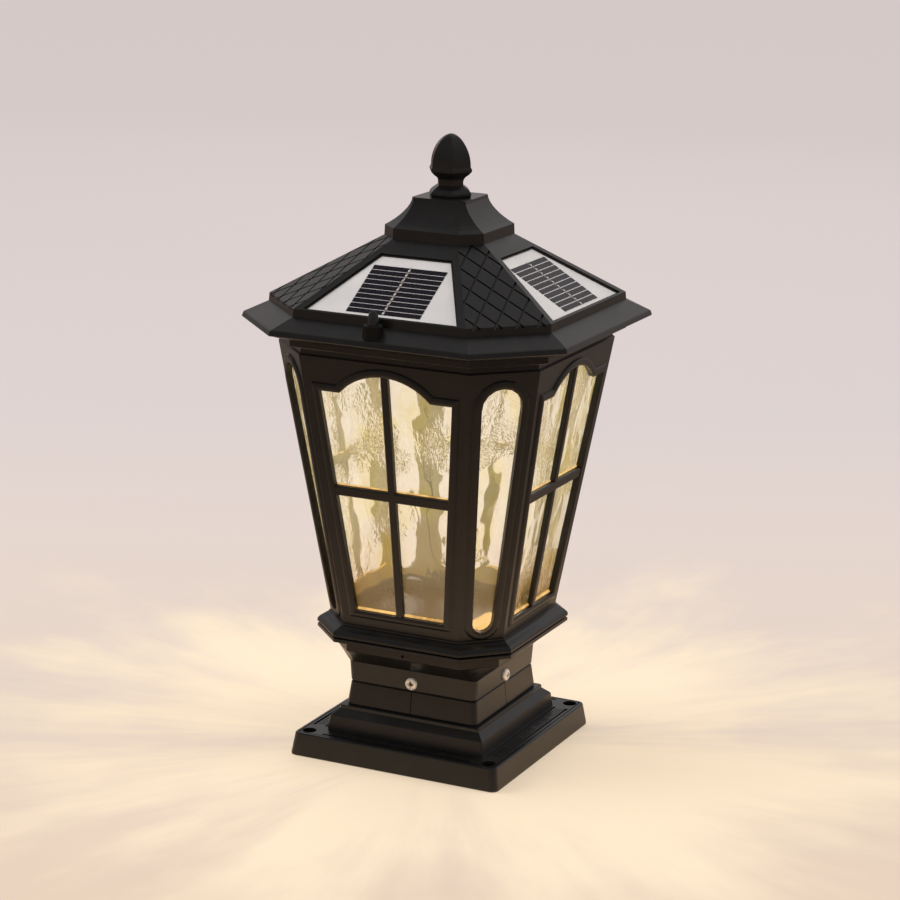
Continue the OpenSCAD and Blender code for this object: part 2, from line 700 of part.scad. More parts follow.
// One glazing bar with eased front edges, lying along y, its back on the wall's inner face
module glazing_bar(width, length) {
  ease = 0.8;
  top = bead_h * 0.55;
  rotate([-90, 0, 0]) mirror([0, 0, 1]) translate([0, 0, -length]) linear_extrude(length)
    polygon([[-width / 2, cage_wall], [width / 2, cage_wall], [width / 2, ease - top],
             [width / 2 - ease, -top], [ease - width / 2, -top], [-width / 2, ease - top]]);
}

lug_t = 4.5;
lug_w = 14;
lug_reach = 12;
lug_hole_in = 7.2;
tray_screw_at = cage_half(z_eaves) - cage_wall - lug_hole_in;
module lantern_cage() {
  skirt_half = skirt_w / 2;
  socket_half = spigot_half + slip;
  color(casting_black) {
    difference() {
      union() {
        loft([octagon_ring(skirt_half - 0.4, skirt_cut, z_skirt),
              octagon_ring(skirt_half, skirt_cut, z_skirt + 0.5),
              octagon_ring(skirt_half, skirt_cut, z_skirt + skirt_h * 0.2),
              octagon_ring(skirt_half - 0.5, skirt_cut - 0.3, z_skirt + skirt_h * 0.34),
              octagon_ring(skirt_half - 1.9, skirt_cut - 0.9, z_skirt + skirt_h * 0.5),
              octagon_ring(skirt_half - 4.1, skirt_cut - 1.9, z_skirt + skirt_h * 0.64),
              octagon_ring(skirt_half - 5.8, skirt_cut - 2.7, z_skirt + skirt_h * 0.78),
              octagon_ring(cage_foot_w / 2 + 1.2, cage_foot_cut + 0.5, z_skirt + skirt_h * 0.86),
              octagon_ring(cage_foot_w / 2 + 1.2, cage_foot_cut + 0.5, z_cage - 0.5),
              octagon_ring(cage_foot_w / 2 + 0.2, cage_foot_cut, z_cage),
              cage_ring(z_eaves - 0.8, 0),
              cage_ring(z_eaves, 0.8)]);
        on_all_sides() on_leaning_wall(cage_foot_w / 2, z_cage, cage_lean) window_bead();
        on_all_corners() on_leaning_wall(corner_foot_reach, z_cage, corner_lean) slot_bead();
      }
      loft([cage_ring(z_floor, cage_wall), cage_ring(z_eaves + past, cage_wall)]);
      translate([0, 0, -eps]) loft([octagon_ring(socket_half, spigot_cut, z_skirt - past),
            octagon_ring(socket_half, spigot_cut, z_spigot + eps)]);
      on_all_sides() on_leaning_wall(cage_foot_w / 2, z_cage, cage_lean)
        translate([0, 0, -cage_wall - past]) linear_extrude(cage_wall + bead_h + 2 * past)
          polygon(window_outline(0));
      on_all_corners() on_leaning_wall(corner_foot_reach, z_cage, corner_lean)
        translate([0, 0, -cage_wall - past]) linear_extrude(cage_wall + bead_h + 2 * past)
          polygon(slot_outline(0));
      on_square(cage_screw_at) translate([0, 0, z_spigot - past])
        cylinder(d = inner_shank_d + 2 * shank_gap, h = floor_t + 2 * past, $fn = 32);
    }
    on_all_sides() on_leaning_wall(cage_foot_w / 2, z_cage, cage_lean) {
      translate([0, sill_h - 1, 0]) glazing_bar(bar_w, apex_y - sill_h + 2);
      translate([-wide_at(cross_y) - 1, cross_y, 0]) rotate([0, 0, -90])
        glazing_bar(cross_bar_h, 2 * wide_at(cross_y) + 2);
    }
    difference() {
      loft([cage_ring(z_floor - eps, pane_back), cage_ring(z_rib, pane_back)]);
      loft([cage_ring(z_floor - past, pane_back + rib_t), cage_ring(z_rib + past, pane_back + rib_t)]);
    }
    on_square(cage_screw_at) translate([0, 0, z_floor - eps]) difference() {
      cylinder(r = inner_shank_d / 2 + 2.6, h = cage_boss_h, $fn = 32);
      translate([0, 0, -past])
        cylinder(d = inner_shank_d + 2 * shank_gap, h = cage_boss_h, $fn = 32);
    }
    on_all_sides() difference() {
      translate([-lug_w / 2, -cage_half(z_eaves - lug_t) + cage_wall - 1, z_eaves - lug_t])
        cube([lug_w, lug_reach, lug_t]);
      translate([0, -tray_screw_at, z_eaves - lug_t - past])
        cylinder(d = inner_shank_d + 2 * shank_gap, h = lug_t + 2 * past, $fn = 32);
    }
  }
}

module cage_foot_screws() {
  color(bright_steel) on_square(cage_screw_at) translate([0, 0, z_spigot - fitter_top_t])
    rotate([180, 0, 0]) pan_screw(inner_head_d, inner_shank_d, fitter_top_t + floor_t + cage_screw_bite);
}

// Panes stand between the wall and the rib, from the floor to under the tray's lugs
pane_side_gap = 3;
z_pane_top = z_eaves - lug_t - 0.4;
module pane_sheet(reach, lean, low_half, high_half) {
  foot_y = (pane_foot - z_cage) / cos(lean) + cage_wall * tan(lean) + pane_t * tan(lean);
  top_y = (z_pane_top - z_cage) / cos(lean) - 0.2;
  color(cream_glass) on_leaning_wall(reach, z_cage, lean)
    translate([0, 0, -cage_wall - pane_t]) linear_extrude(pane_t)
      polygon([[-low_half, foot_y], [low_half, foot_y], [high_half, top_y], [-high_half, top_y]]);
}
module wide_pane(k) {
  on_side(k) pane_sheet(cage_foot_w / 2, cage_lean,
    wide_half(pane_foot) - pane_side_gap, wide_half(z_pane_top) - pane_side_gap);
}
module corner_pane(k) {
  on_corner(k) pane_sheet(corner_foot_reach, corner_lean,
    narrow_half(pane_foot) - pane_side_gap, narrow_half(z_pane_top) - pane_side_gap);
}
module pane_front() { wide_pane(0); }
module pane_right() { wide_pane(1); }
module pane_back() { wide_pane(2); }
module pane_left() { wide_pane(3); }
module corner_pane_front_right() { corner_pane(0); }
module corner_pane_back_right() { corner_pane(1); }
module corner_pane_back_left() { corner_pane(2); }
module corner_pane_front_left() { corner_pane(3); }

// The tray closes the roof from below and its rib holds the tops of the panes
tray_floor_t = 3;
z_tray = z_eaves + tray_floor_t;
tray_neck_half = cage_top_w / 2 - 1.6;
tray_neck_cut = inner_cut(cage_top_cut, 1.6);
band_half = eaves_band_w / 2;
roof_half = roof_w / 2;
tray_edge_half = roof_half - roof_wall - 0.6;
tray_edge_cut = inner_cut(roof_cut, roof_wall + 0.6);
brim_run = roof_half - lip_lean - step_w / 2;
brim_slope = brim_rise / brim_run;
brim_drop = roof_wall * sqrt(1 + brim_slope * brim_slope);
function brim_z(half) = z_lip + (roof_half - lip_lean - half) * brim_slope;
z_tray_rim = brim_z(tray_edge_half) - brim_drop - edge_gap;
// The soffit's slope is the one at which a sheet of full thickness ends level with the rim
soffit_run = tray_edge_half - band_half;
soffit_climb = z_tray_rim - z_soffit;
soffit_slope = (soffit_climb * soffit_run
  - tray_t * sqrt(soffit_climb * soffit_climb + soffit_run * soffit_run - tray_t * tray_t))
  / (soffit_run * soffit_run - tray_t * tray_t);
soffit_t = tray_t * sqrt(1 + soffit_slope * soffit_slope);
z_tray_edge = z_soffit + soffit_slope * soffit_run;
tray_bore_half = min(tray_neck_half, band_half) - tray_t;
tray_bore_reach = min(face_reach(tray_neck_half, tray_neck_cut),
                      face_reach(band_half, eaves_band_cut)) - tray_t;
tray_bore_cut = 2 * tray_bore_half - sqrt(2) * tray_bore_reach;
function tray_top(half) = z_soffit + soffit_t + soffit_slope * (half - band_half);
roof_screw_reach = face_reach(tray_neck_half, tray_neck_cut) + roof_head_d / 2 + edge_gap;
roof_screw_at = roof_screw_reach / sqrt(2);
roof_boss_r = roof_shank_d / 2 + 1.3;
roof_screw_bite = 9;
// The roof's bosses end inside the deck, or inside the brim where the step is narrower
z_roof_boss_top = roof_screw_reach < corner_slope_foot
  ? z_slope_foot + (corner_slope_foot - roof_screw_reach) * tan(corner_pitch) - deck_t / 2
  : z_step - (roof_screw_reach - face_reach(step_w / 2, step_cut)) * brim_slope - roof_wall / 2;
switch_post_r = 3;
board_at = [0, -38];
board_rise = 5;
board_t = 1.6;
board_screw_at = [for (sx = [-1, 1]) for (sy = [-1, 1])
  [board_at.x + sx * (board_l / 2 - 4), board_at.y + sy * (board_w / 2 - 4)]];
led_screw_r = led_cover_d / 2 - 3.6;
module eaves_tray() {
  in_t = tray_t;
  z_flange_top = z_band + in_t;
  color(casting_black) difference() {
    union() {
      difference() {
        loft([octagon_ring(tray_neck_half, tray_neck_cut, z_eaves),
              octagon_ring(tray_neck_half, tray_neck_cut, z_band),
              octagon_ring(band_half - 0.4, eaves_band_cut, z_band),
              octagon_ring(band_half, eaves_band_cut, z_band + 0.4),
              octagon_ring(band_half, eaves_band_cut, z_soffit),
              octagon_ring(tray_edge_half, tray_edge_cut, z_tray_edge),
              octagon_ring(tray_edge_half, tray_edge_cut, z_tray_rim)]);
        loft([octagon_ring(tray_bore_half, tray_bore_cut, z_tray),
              octagon_ring(tray_bore_half, tray_bore_cut, z_flange_top),
              octagon_ring(band_half - in_t, inner_cut(eaves_band_cut, in_t), z_flange_top),
              octagon_ring(band_half - in_t, inner_cut(eaves_band_cut, in_t),
                           tray_top(band_half - in_t)),
              octagon_ring(tray_edge_half, tray_edge_cut, z_tray_rim),
              octagon_ring(tray_edge_half, tray_edge_cut, z_tray_rim + past)]);
      }
      difference() {
        loft([cage_ring(z_eaves - lug_t - 2, pane_back), cage_ring(z_eaves + eps, pane_back)]);
        loft([cage_ring(z_eaves - lug_t - 2 - past, pane_back + rib_t),
              cage_ring(z_eaves, pane_back + rib_t)]);
        on_all_sides() translate([-lug_w / 2 - slip, -cage_top_w / 2, z_eaves - lug_t - 3])
          cube([lug_w + 2 * slip, 3 * lug_reach, lug_t + 3]);
      }
      for (p = board_screw_at) translate([p.x, p.y, z_tray - eps])
        cylinder(r = 3, h = board_rise + eps, $fn = 24);
      translate([0, -switch_reach, tray_top(switch_reach - switch_post_r) - edge_gap])
        cylinder(r = switch_post_r, $fn = 32,
                 h = switch_body_low - tray_top(switch_reach - switch_post_r) + edge_gap);
    }
    on_square(roof_screw_at) translate([0, 0, z_flange_top])
      cylinder(r = roof_boss_r + edge_gap, h = z_tray_rim - z_flange_top, $fn = 32);
    on_square(roof_screw_at) translate([0, 0, z_band - past])
      cylinder(d = roof_shank_d + 4 * shank_gap, h = tray_t + 2 * past, $fn = 24);
    on_all_sides() translate([0, -tray_screw_at, z_eaves - past])
      cylinder(d = inner_shank_d + 4 * shank_gap, h = tray_floor_t + 2 * past, $fn = 32);
    for (k = [0 : 2]) rotate([0, 0, 120 * k + 30]) translate([led_screw_r, 0, z_eaves - past])
      cylinder(d = roof_shank_d + 2 * shank_gap, h = tray_floor_t + 2 * past, $fn = 24);
    for (p = board_screw_at) translate([p.x, p.y, z_tray + 1])
      cylinder(d = roof_shank_d + 2 * shank_gap, h = board_rise + past, $fn = 24);
    translate([0, 0, z_eaves - past]) cylinder(d = 8, h = tray_floor_t + 2 * past, $fn = 32);
  }
}

module tray_screws() {
  color(bright_steel) on_all_sides() translate([0, -tray_screw_at, z_tray])
    pan_screw(inner_head_d, inner_shank_d, tray_floor_t + lug_t - slip);
}

led_board_t = 1.6;
led_chip_h = 1.2;
led_cover_t = 1.5;
module led_board() {
  color("#e8e8e2") translate([0, 0, z_eaves - led_board_t]) difference() {
    cylinder(d = led_board_d, h = led_board_t, $fn = 72);
    translate([0, 0, -past]) cylinder(d = 6, h = led_board_t + 2 * past, $fn = 32);
  }
}
module led_chips() {
  color("#f6d873") for (k = [0 : led_count - 1]) rotate([0, 0, 360 / led_count * k])
    translate([led_board_d * 0.32 - 2.5, -2.5, z_eaves - led_board_t - led_chip_h])
      cube([5, 5, led_chip_h]);
}
module led_cover() {
  r = led_cover_d / 2;
  t = led_cover_t;
  d = led_board_d / 2 + slip + t;
  h = led_cover_h;
  color([0.95, 0.95, 0.9, 0.7]) difference() {
    translate([0, 0, z_eaves]) rotate_extrude($fn = 72)
      polygon([[r, 0], [r, -t], [d, -t], [d - 0.6, -h * 0.55], [d - 4, -h * 0.86], [d - 12, -h],
               [0, -h], [0, t - h], [d - 12.4, t - h], [d - 4.8, t - h * 0.86],
               [d - t - 0.6, 0.6 - h * 0.55], [d - t, -t], [d - t, 0]]);
    for (k = [0 : 2]) rotate([0, 0, 120 * k + 30])
      translate([led_screw_r, 0, z_eaves - t - past])
        cylinder(d = roof_shank_d + 4 * shank_gap, h = t + 2 * past, $fn = 24);
  }
}
module led_cover_screws() {
  color(bright_steel) for (k = [0 : 2]) rotate([0, 0, 120 * k + 30])
    translate([led_screw_r, 0, z_eaves - led_cover_t]) rotate([180, 0, 0])
      pan_screw(roof_head_d, roof_shank_d, led_cover_t + tray_floor_t - slip);
}

holder_wall = 1.8;
holder_at = [0, 42];
holder_w = 2 * cell_d + 3 * holder_wall + 4 * shank_gap;
holder_l = cell_l + 2 * holder_wall + 6;
module battery_holder() {
  color("#26282b") translate([holder_at.x, holder_at.y, z_tray]) difference() {
    translate([-holder_l / 2, -holder_w / 2, 0]) cube([holder_l, holder_w, cell_d * 0.8]);
    for (side = [-1, 1])
      translate([-holder_l / 2 + holder_wall, side * (cell_d + holder_wall) / 2 - cell_d / 2 - shank_gap,
                 holder_wall])
        cube([holder_l - 2 * holder_wall, cell_d + 2 * shank_gap, cell_d]);
  }
}
module battery_cells() {
  color("#3f7fb5") for (side = [-1, 1])
    translate([holder_at.x - cell_l / 2, holder_at.y + side * (cell_d + holder_wall) / 2,
               z_tray + holder_wall + cell_d / 2]) rotate([0, 90, 0]) {
      cylinder(d = cell_d, h = cell_l - 1.5, $fn = 64);
      cylinder(d = cell_d * 0.42, h = cell_l, $fn = 32);
    }
}

module control_board() {
  color("#2e6b46") translate([board_at.x, board_at.y, z_tray + board_rise]) difference() {
    translate([-board_l / 2, -board_w / 2, 0]) cube([board_l, board_w, board_t]);
    for (p = board_screw_at) translate([p.x - board_at.x, p.y - board_at.y, -past])
      cylinder(d = roof_shank_d + 4 * shank_gap, h = board_t + 2 * past, $fn = 24);
  }
}
chip_l = 12;
chip_w = 10;
chip_h = 1.8;
plug_l = 9;
plug_h = 9;
cell_plug_w = 24;
panel_plug_w = 18;
can_d = 7;
can_h = 10;
module control_parts() {
  color("#33383c") translate([board_at.x, board_at.y, z_tray + board_rise + board_t]) {
    translate([-chip_l * 2 / 3, -chip_w / 2, 0]) cube([chip_l, chip_w, chip_h]);
    translate([board_l / 2 - 2 * plug_l, -cell_plug_w / 2, 0]) cube([plug_l, cell_plug_w, plug_h]);
    translate([-board_l / 2 + plug_l, -panel_plug_w / 2, 0])
      cube([plug_l - 1, panel_plug_w, plug_h]);
    translate([board_l / 5, chip_w * 0.8, 0]) cylinder(d = can_d, h = can_h, $fn = 32);
  }
}
module control_screws() {
  color(bright_steel) for (p = board_screw_at)
    translate([p.x, p.y, z_tray + board_rise + board_t])
      pan_screw(roof_head_d, roof_shank_d, board_t + board_rise - 1.4);
}

// Lattice grooves on one corner slope, drawn flat with y up the slope
module lattice_lines() {
  low_half = step_cut / sqrt(2);
  top_half = crown_cut / sqrt(2);
  angle = atan(lattice_h / lattice_w);
  reach = lattice_h * 6;
  turns = ceil(corner_slope_len / lattice_h) + 1;
  intersection() {
    polygon([[-low_half * 1.02, -past * 2], [low_half * 1.02, -past * 2],
             [top_half, corner_slope_len], [-top_half, corner_slope_len]]);
    for (k = [-turns : turns + 1]) for (lean = [-angle, angle])
      translate([0, lattice_start + k * lattice_h]) rotate([0, 0, lean])
        translate([-reach / 2, -groove_w / 2]) square([reach, groove_w]);
  }
}

function slope_half_at(y) = mix(slope_foot_half - step_cut, crown_w / 2 - crown_cut, y / slope_len);
// The panels start clear of the switch's boss, where a wide step reaches under it
switch_room = switch_reach - boss_top_r - edge_gap;
panel_start = max(panel_foot, (slope_foot_half - switch_room) / cos(slope_pitch) + panel_gap);
panel_low_half = slope_half_at(panel_start) - panel_margin;
panel_top_half = slope_half_at(panel_start + panel_len) - panel_margin;
module panel_outline(grow) {
  polygon([[-panel_low_half - grow, panel_start - grow], [panel_low_half + grow, panel_start - grow],
           [panel_top_half + grow, panel_start + panel_len + grow],
           [-panel_top_half - grow, panel_start + panel_len + grow]]);
}
module panel_place(k) {
  on_side(k) on_slope(slope_foot_half, z_slope_foot, slope_pitch) children();
}
module solar_panel(k) {
  color("#e9e7e4") panel_place(k) translate([0, 0, -panel_sink - panel_t])
    linear_extrude(panel_t) panel_outline(-panel_gap / 2);
}
module solar_cells(k) {
  column_w = (cell_field_w - busbar_w) / 2;
  color("#15151c") panel_place(k) for (row = [0 : cell_rows - 1]) for (side = [-1, 1])
    translate([side * (busbar_w + column_w) / 2 - column_w / 2,
               panel_start + cell_foot + row * cell_pitch, -panel_sink])
      cube([column_w, cell_pitch - cell_gap, cell_t]);
}
module panel_busbars() {
  color("#b9b3a6") for (k = [0 : 3]) panel_place(k)
    translate([-busbar_w / 4, panel_start + cell_foot, -panel_sink])
      cube([busbar_w / 2, cell_rows * cell_pitch, cell_t * 0.7]);
}
module solar_panel_front() { solar_panel(0); }
module solar_panel_right() { solar_panel(1); }
module solar_panel_back() { solar_panel(2); }
module solar_panel_left() { solar_panel(3); }
module solar_cells_front() { solar_cells(0); }
module solar_cells_right() { solar_cells(1); }
module solar_cells_back() { solar_cells(2); }
module solar_cells_left() { solar_cells(3); }

// The switch sits in a boss on the front brim, or on the deck where a wide step reaches under it
switch_inner = switch_reach - boss_foot_r;
z_boss = (switch_inner < step_w / 2 ? deck_z(switch_inner) : z_step) + boss_rise;
boss_roof_t = 1.6;
counterbore_r = boss_top_r - 1.1;
z_brim_pad = z_lip - 2;
flange_h = 2.2;
z_button_flange = z_boss - boss_roof_t - flange_h;
switch_body_h = 4.2;
switch_body_low = z_brim_pad + slip;
switch_body_top = switch_body_low + switch_body_h;
stem_r = 1.6;
stem_grip = 1;
z_stem = switch_body_top - stem_grip;

// The crown's hollow curve, from the top down: t goes from 0 to 1
function crown_ring(t, inset) =
  let (run = 1 - cos(90 * t), fall = mix(run, sin(90 * t), 0.5))
  octagon_ring(mix(crown_top_w, crown_w - 0.8, run) / 2 - inset,
    inner_cut(mix(crown_top_cut, crown_cut - 0.4, run), inset * 0.6),
    mix(z_crown_top, z_crown_band, fall) - inset * 0.8);
deck_drop = deck_t / cos(slope_pitch);
function deck_z(half) = z_slope_foot + (slope_foot_half - half) * tan(slope_pitch);
z_boss_foot = brim_z(switch_reach) - roof_wall / 2;
module roof_shell() {
  lip_in = roof_half - roof_wall;
  step_in = step_w / 2 - roof_wall;
  crown_in = crown_w / 2 - roof_wall - 0.4;
  z_screw_seat = z_band + tray_t;
  color(casting_black) difference() {
    union() {
      difference() {
        loft([octagon_ring(roof_half - 0.4, roof_cut, z_lip_foot),
              octagon_ring(roof_half, roof_cut, z_lip_foot + 0.5),
              octagon_ring(roof_half - lip_lean, roof_cut, z_lip - 0.6),
              octagon_ring(roof_half - lip_lean - 0.7, roof_cut, z_lip),
              octagon_ring(step_w / 2, step_cut, z_step),
              octagon_ring(slope_foot_half, step_cut, z_slope_foot),
              octagon_ring(crown_w / 2, crown_cut, z_crown),
              for (k = [curve_steps : -1 : 0]) crown_ring(k / curve_steps, 0)]);
        loft([octagon_ring(lip_in, inner_cut(roof_cut, roof_wall), z_lip_foot - past),
              octagon_ring(lip_in, inner_cut(roof_cut, roof_wall), brim_z(lip_in) - brim_drop),
              octagon_ring(step_in, inner_cut(step_cut, roof_wall), brim_z(step_in) - brim_drop),
              octagon_ring(step_in - 0.2, inner_cut(step_cut, roof_wall), deck_z(step_in) - deck_drop),
              octagon_ring(crown_in, inner_cut(crown_cut, roof_wall), deck_z(crown_in) - deck_drop),
              for (k = [curve_steps : -1 : 0]) crown_ring(k / curve_steps, roof_wall + 0.4)]);
      }
      on_square(roof_screw_at) translate([0, 0, z_screw_seat])
        cylinder(r = roof_boss_r, h = z_roof_boss_top - z_screw_seat, $fn = 32);
      translate([0, -switch_reach, z_brim_pad])
        cylinder(r = boss_top_r, h = z_boss - z_brim_pad, $fn = 64);
      translate([0, -switch_reach, z_boss_foot])
        cylinder(r1 = boss_foot_r, r2 = boss_top_r, h = z_boss - z_boss_foot, $fn = 64);
    }
    on_all_sides() on_slope(slope_foot_half, z_slope_foot, slope_pitch)
      translate([0, 0, -panel_sink - panel_t]) linear_extrude(panel_sink + panel_t + past)
        panel_outline(panel_gap / 2);
    on_all_sides() on_slope(slope_foot_half, z_slope_foot, slope_pitch)
      translate([0, panel_start + panel_len / 2, -deck_t - past])
        cylinder(d = 5, h = deck_t, $fn = 24);
    on_all_corners() on_slope(corner_slope_foot, z_slope_foot, corner_pitch)
      translate([0, 0, -groove_depth]) linear_extrude(groove_depth + past) lattice_lines();
    on_square(roof_screw_at) translate([0, 0, z_screw_seat - past])
      cylinder(d = roof_shank_d + 2 * shank_gap, h = roof_screw_bite + 3 * past, $fn = 24);
    translate([0, 0, z_crown_top - 8])
      cylinder(d = finial_bolt_d + 4 * shank_gap, h = 8 + past, $fn = 40);
    translate([0, -switch_reach, z_brim_pad - past])
      cylinder(r = counterbore_r, h = z_boss - boss_roof_t - z_brim_pad + past, $fn = 64);
    translate([0, -switch_reach, z_brim_pad])
      cylinder(r = button_r + button_gap, h = z_boss - z_brim_pad + past, $fn = 64);
  }
}

module roof_screws() {
  color(bright_steel) on_square(roof_screw_at) translate([0, 0, z_band])
    rotate([180, 0, 0]) pan_screw(roof_head_d, roof_shank_d, tray_t + roof_screw_bite);
}

// The button's flange rests under the boss's roof, which is its stop
module switch_button() {
  guide_h = boss_roof_t + button_travel + slip;
  nose_h = boss_roof_t + button_rise - guide_h;
  color("#141414") translate([0, -switch_reach, z_button_flange]) rotate_extrude($fn = 64)
    polygon(concat([[0, z_stem - z_button_flange], [stem_r, z_stem - z_button_flange], [stem_r, 0],
                    [counterbore_r - button_gap, 0], [counterbore_r - button_gap, flange_h - 0.02],
                    [button_r, flange_h - 0.02]],
                   [for (k = [0 : curve_steps]) let (t = sin(90 * k / curve_steps))
                     [button_r * (1 - 0.3 * t) * sqrt(1 - pow(t, 4)), flange_h + guide_h + nose_h * t]]));
}

// A coil spring round the button's stem, from the switch body up to the button's flange
spring_r = stem_r + 1.1;
wire_r = 0.2;
spring_low = switch_body_top + wire_r;
spring_high = z_button_flange - wire_r;
spring_turns = 3.5;
spring_steps = 14;
wire_sides = 6;
function spring_point(t, j) =
  let (turn = 360 * spring_turns * t, side = 360 * j / wire_sides)
  let (r = spring_r + wire_r * cos(side))
  [r * cos(turn), r * sin(turn), mix(spring_low, spring_high, t) + wire_r * sin(side)];
module switch_spring() {
  steps = spring_turns * spring_steps;
  color(bright_steel) translate([0, -switch_reach, 0])
    loft([for (k = [0 : steps]) [for (j = [wire_sides - 1 : -1 : 0]) spring_point(k / steps, j)]]);
}

module switch_body() {
  color("#3a3a3c") translate([0, -switch_reach, switch_body_low]) difference() {
    cylinder(r = counterbore_r - shank_gap, h = switch_body_h, $fn = 64);
    translate([0, 0, z_stem - button_travel - 0.3 - switch_body_low])
      cylinder(r = stem_r + button_gap, h = switch_body_h, $fn = 40);
  }
}

// A six-sided acorn on a waisted foot. The bell's curve runs from its brim to the tip.
finial_rim_z = finial_h * 0.43;
bell_foot_z = finial_rim_z + 2.5;
function bell_r(t) = (finial_r - 1.1) * pow(1 - t * t, 0.6);
module finial() {
  color(casting_black) translate([0, 0, z_crown_top]) difference() {
    rotate_extrude($fn = 6)
      polygon([[0, 0], [foot_r - 0.6, 0], [foot_r, 1.2], [foot_r, 2.4], [foot_r - 0.6, 3.4],
               [foot_r - 2.4, 5.1], [waist_r + 1.6, 6.6], [waist_r, 7.6], [waist_r, 10.2],
               [waist_r + 0.4, 11.8], [waist_r + 1.8, 13.6], [finial_r - 2.2, finial_rim_z - 3],
               [finial_r - 0.3, finial_rim_z - 1], [finial_r, finial_rim_z],
               [finial_r - 0.3, finial_rim_z + 1], [finial_r - 1, bell_foot_z - 0.6],
               for (k = [0 : 2 * curve_steps]) let (t = sin(45 * k / curve_steps))
                 [bell_r(t), mix(bell_foot_z, finial_h, t)]]);
    translate([0, 0, -past]) cylinder(d = finial_bolt_d + 2 * shank_gap, h = 15 + past, $fn = 40);
  }
}
z_crown_roof = z_crown_top - (roof_wall + 0.4) * 0.8;
washer_t = 1.2;
bolt_head_h = 4;
module finial_washer() {
  color(bright_steel) translate([0, 0, z_crown_roof - washer_t]) difference() {
    cylinder(d = 2 * finial_bolt_d, h = washer_t, $fn = 48);
    translate([0, 0, -past])
      cylinder(d = finial_bolt_d + 4 * shank_gap, h = washer_t + 2 * past, $fn = 40);
  }
}
module finial_bolt() {
  color(bright_steel) translate([0, 0, z_crown_roof - washer_t - bolt_head_h]) {
    cylinder(d = finial_bolt_d * 1.9, h = bolt_head_h, $fn = 6);
    cylinder(d = finial_bolt_d, h = bolt_head_h + washer_t + 15, $fn = 40);
  }
}

base_flange();
post_stub();
stub_screws();
neck_collar();
post_fitter();
neck_screws();
cage_foot_screws();
lantern_cage();
pane_front();
pane_right();
pane_back();
pane_left();
corner_pane_front_right();
corner_pane_back_right();
corner_pane_back_left();
corner_pane_front_left();
eaves_tray();
tray_screws();
led_board();
led_chips();
led_cover();
led_cover_screws();
battery_holder();
battery_cells();
control_board();
control_parts();
control_screws();
roof_shell();
roof_screws();
solar_panel_front();
solar_panel_right();
solar_panel_back();
solar_panel_left();
solar_cells_front();
solar_cells_right();
solar_cells_back();
solar_cells_left();
panel_busbars();
switch_button();
switch_spring();
switch_body();
finial();
finial_bolt();
finial_washer();
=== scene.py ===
# %% [markdown]
# # A solar post lantern, dressed for the camera
# The object is a black cast lantern: a square bolted foot, a short neck, an octagonal cage with
# arched windows, and a roof that carries four solar panels, a push button and an acorn finial.
# The castings, panes and panels already exist as measured solids. This lesson loads them, gives
# each surface a finish that behaves like the real one, and adds the few thin pieces that
# measured solids leave out, such as beads of sealant and blobs of solder.

# %% Load the measured solids
import math

import bpy
from mathutils import Matrix, Vector


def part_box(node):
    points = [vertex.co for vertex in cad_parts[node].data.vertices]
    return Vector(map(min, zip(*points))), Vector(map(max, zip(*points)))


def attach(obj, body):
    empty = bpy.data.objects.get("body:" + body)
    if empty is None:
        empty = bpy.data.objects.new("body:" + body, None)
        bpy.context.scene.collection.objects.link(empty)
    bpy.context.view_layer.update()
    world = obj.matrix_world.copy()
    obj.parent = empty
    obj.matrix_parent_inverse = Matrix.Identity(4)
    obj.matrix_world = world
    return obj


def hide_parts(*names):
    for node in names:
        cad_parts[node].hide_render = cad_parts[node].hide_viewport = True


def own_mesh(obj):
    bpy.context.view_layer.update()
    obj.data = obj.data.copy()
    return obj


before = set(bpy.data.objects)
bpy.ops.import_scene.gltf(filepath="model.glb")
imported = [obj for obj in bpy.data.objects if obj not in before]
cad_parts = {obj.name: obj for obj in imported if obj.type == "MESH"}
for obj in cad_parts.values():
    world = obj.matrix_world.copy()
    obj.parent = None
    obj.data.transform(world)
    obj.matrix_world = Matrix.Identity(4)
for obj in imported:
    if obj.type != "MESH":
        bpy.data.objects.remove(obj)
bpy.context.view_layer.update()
MM = 0.001

# %% [markdown]
# ## The camera
# The photograph looks down a little on the lantern's right-hand corner from nearly two metres
# away through a long lens. Guessing this by eye goes wrong slowly, so the view was worked out
# from the foot's square outline and the roof's octagon. The camera's three directions are
# written as a matrix, because a long lens makes even a tenth of a degree of tilt visible.

# %% Place the camera
def aim(azimuth, pitch, roll):
    a, p, r = (math.radians(v) for v in (azimuth, pitch, roll))
    level = Vector((math.cos(a), math.sin(a), 0))
    ahead = Vector((-math.sin(a) * math.cos(p), math.cos(a) * math.cos(p), -math.sin(p)))
    upward = level.cross(ahead)
    right = level * math.cos(r) + upward * math.sin(r)
    up = upward * math.cos(r) - level * math.sin(r)
    return Matrix((right, up, -ahead)).transposed()


lens_view = bpy.data.cameras.new("studio_camera")
lens_view.lens = 111.13
lens_view.sensor_width = 36
camera = bpy.data.objects.new("studio_camera", lens_view)
bpy.context.scene.collection.objects.link(camera)
camera_place = Matrix.Translation((0.8212, -1.7024, 0.7010))
camera_turn = aim(azimuth=25.668, pitch=14.44, roll=0.971).to_4x4()
camera.matrix_world = camera_place @ camera_turn
bpy.context.scene.camera = camera
print("camera", round(camera.location.length, 3), "m from the foot, lens", lens_view.lens, "mm")

# %% [markdown]
# ## A small hand for shader nodes
# A finish is a sum of masks: a noise here, a worn edge there. Wiring each Math node by hand
# hides that sum, so a Signal wraps one output and lets plain + - * build the nodes. Every other
# kind of node comes from one method that takes its type, its settings and its inputs. The sky
# is drawn with nodes as well, so that method sits in NodeTree, and a Finish adds the material
# and the pieces it goes on. The plain values that a finish starts with are what a simple viewer
# falls back to where it can't draw the pattern.

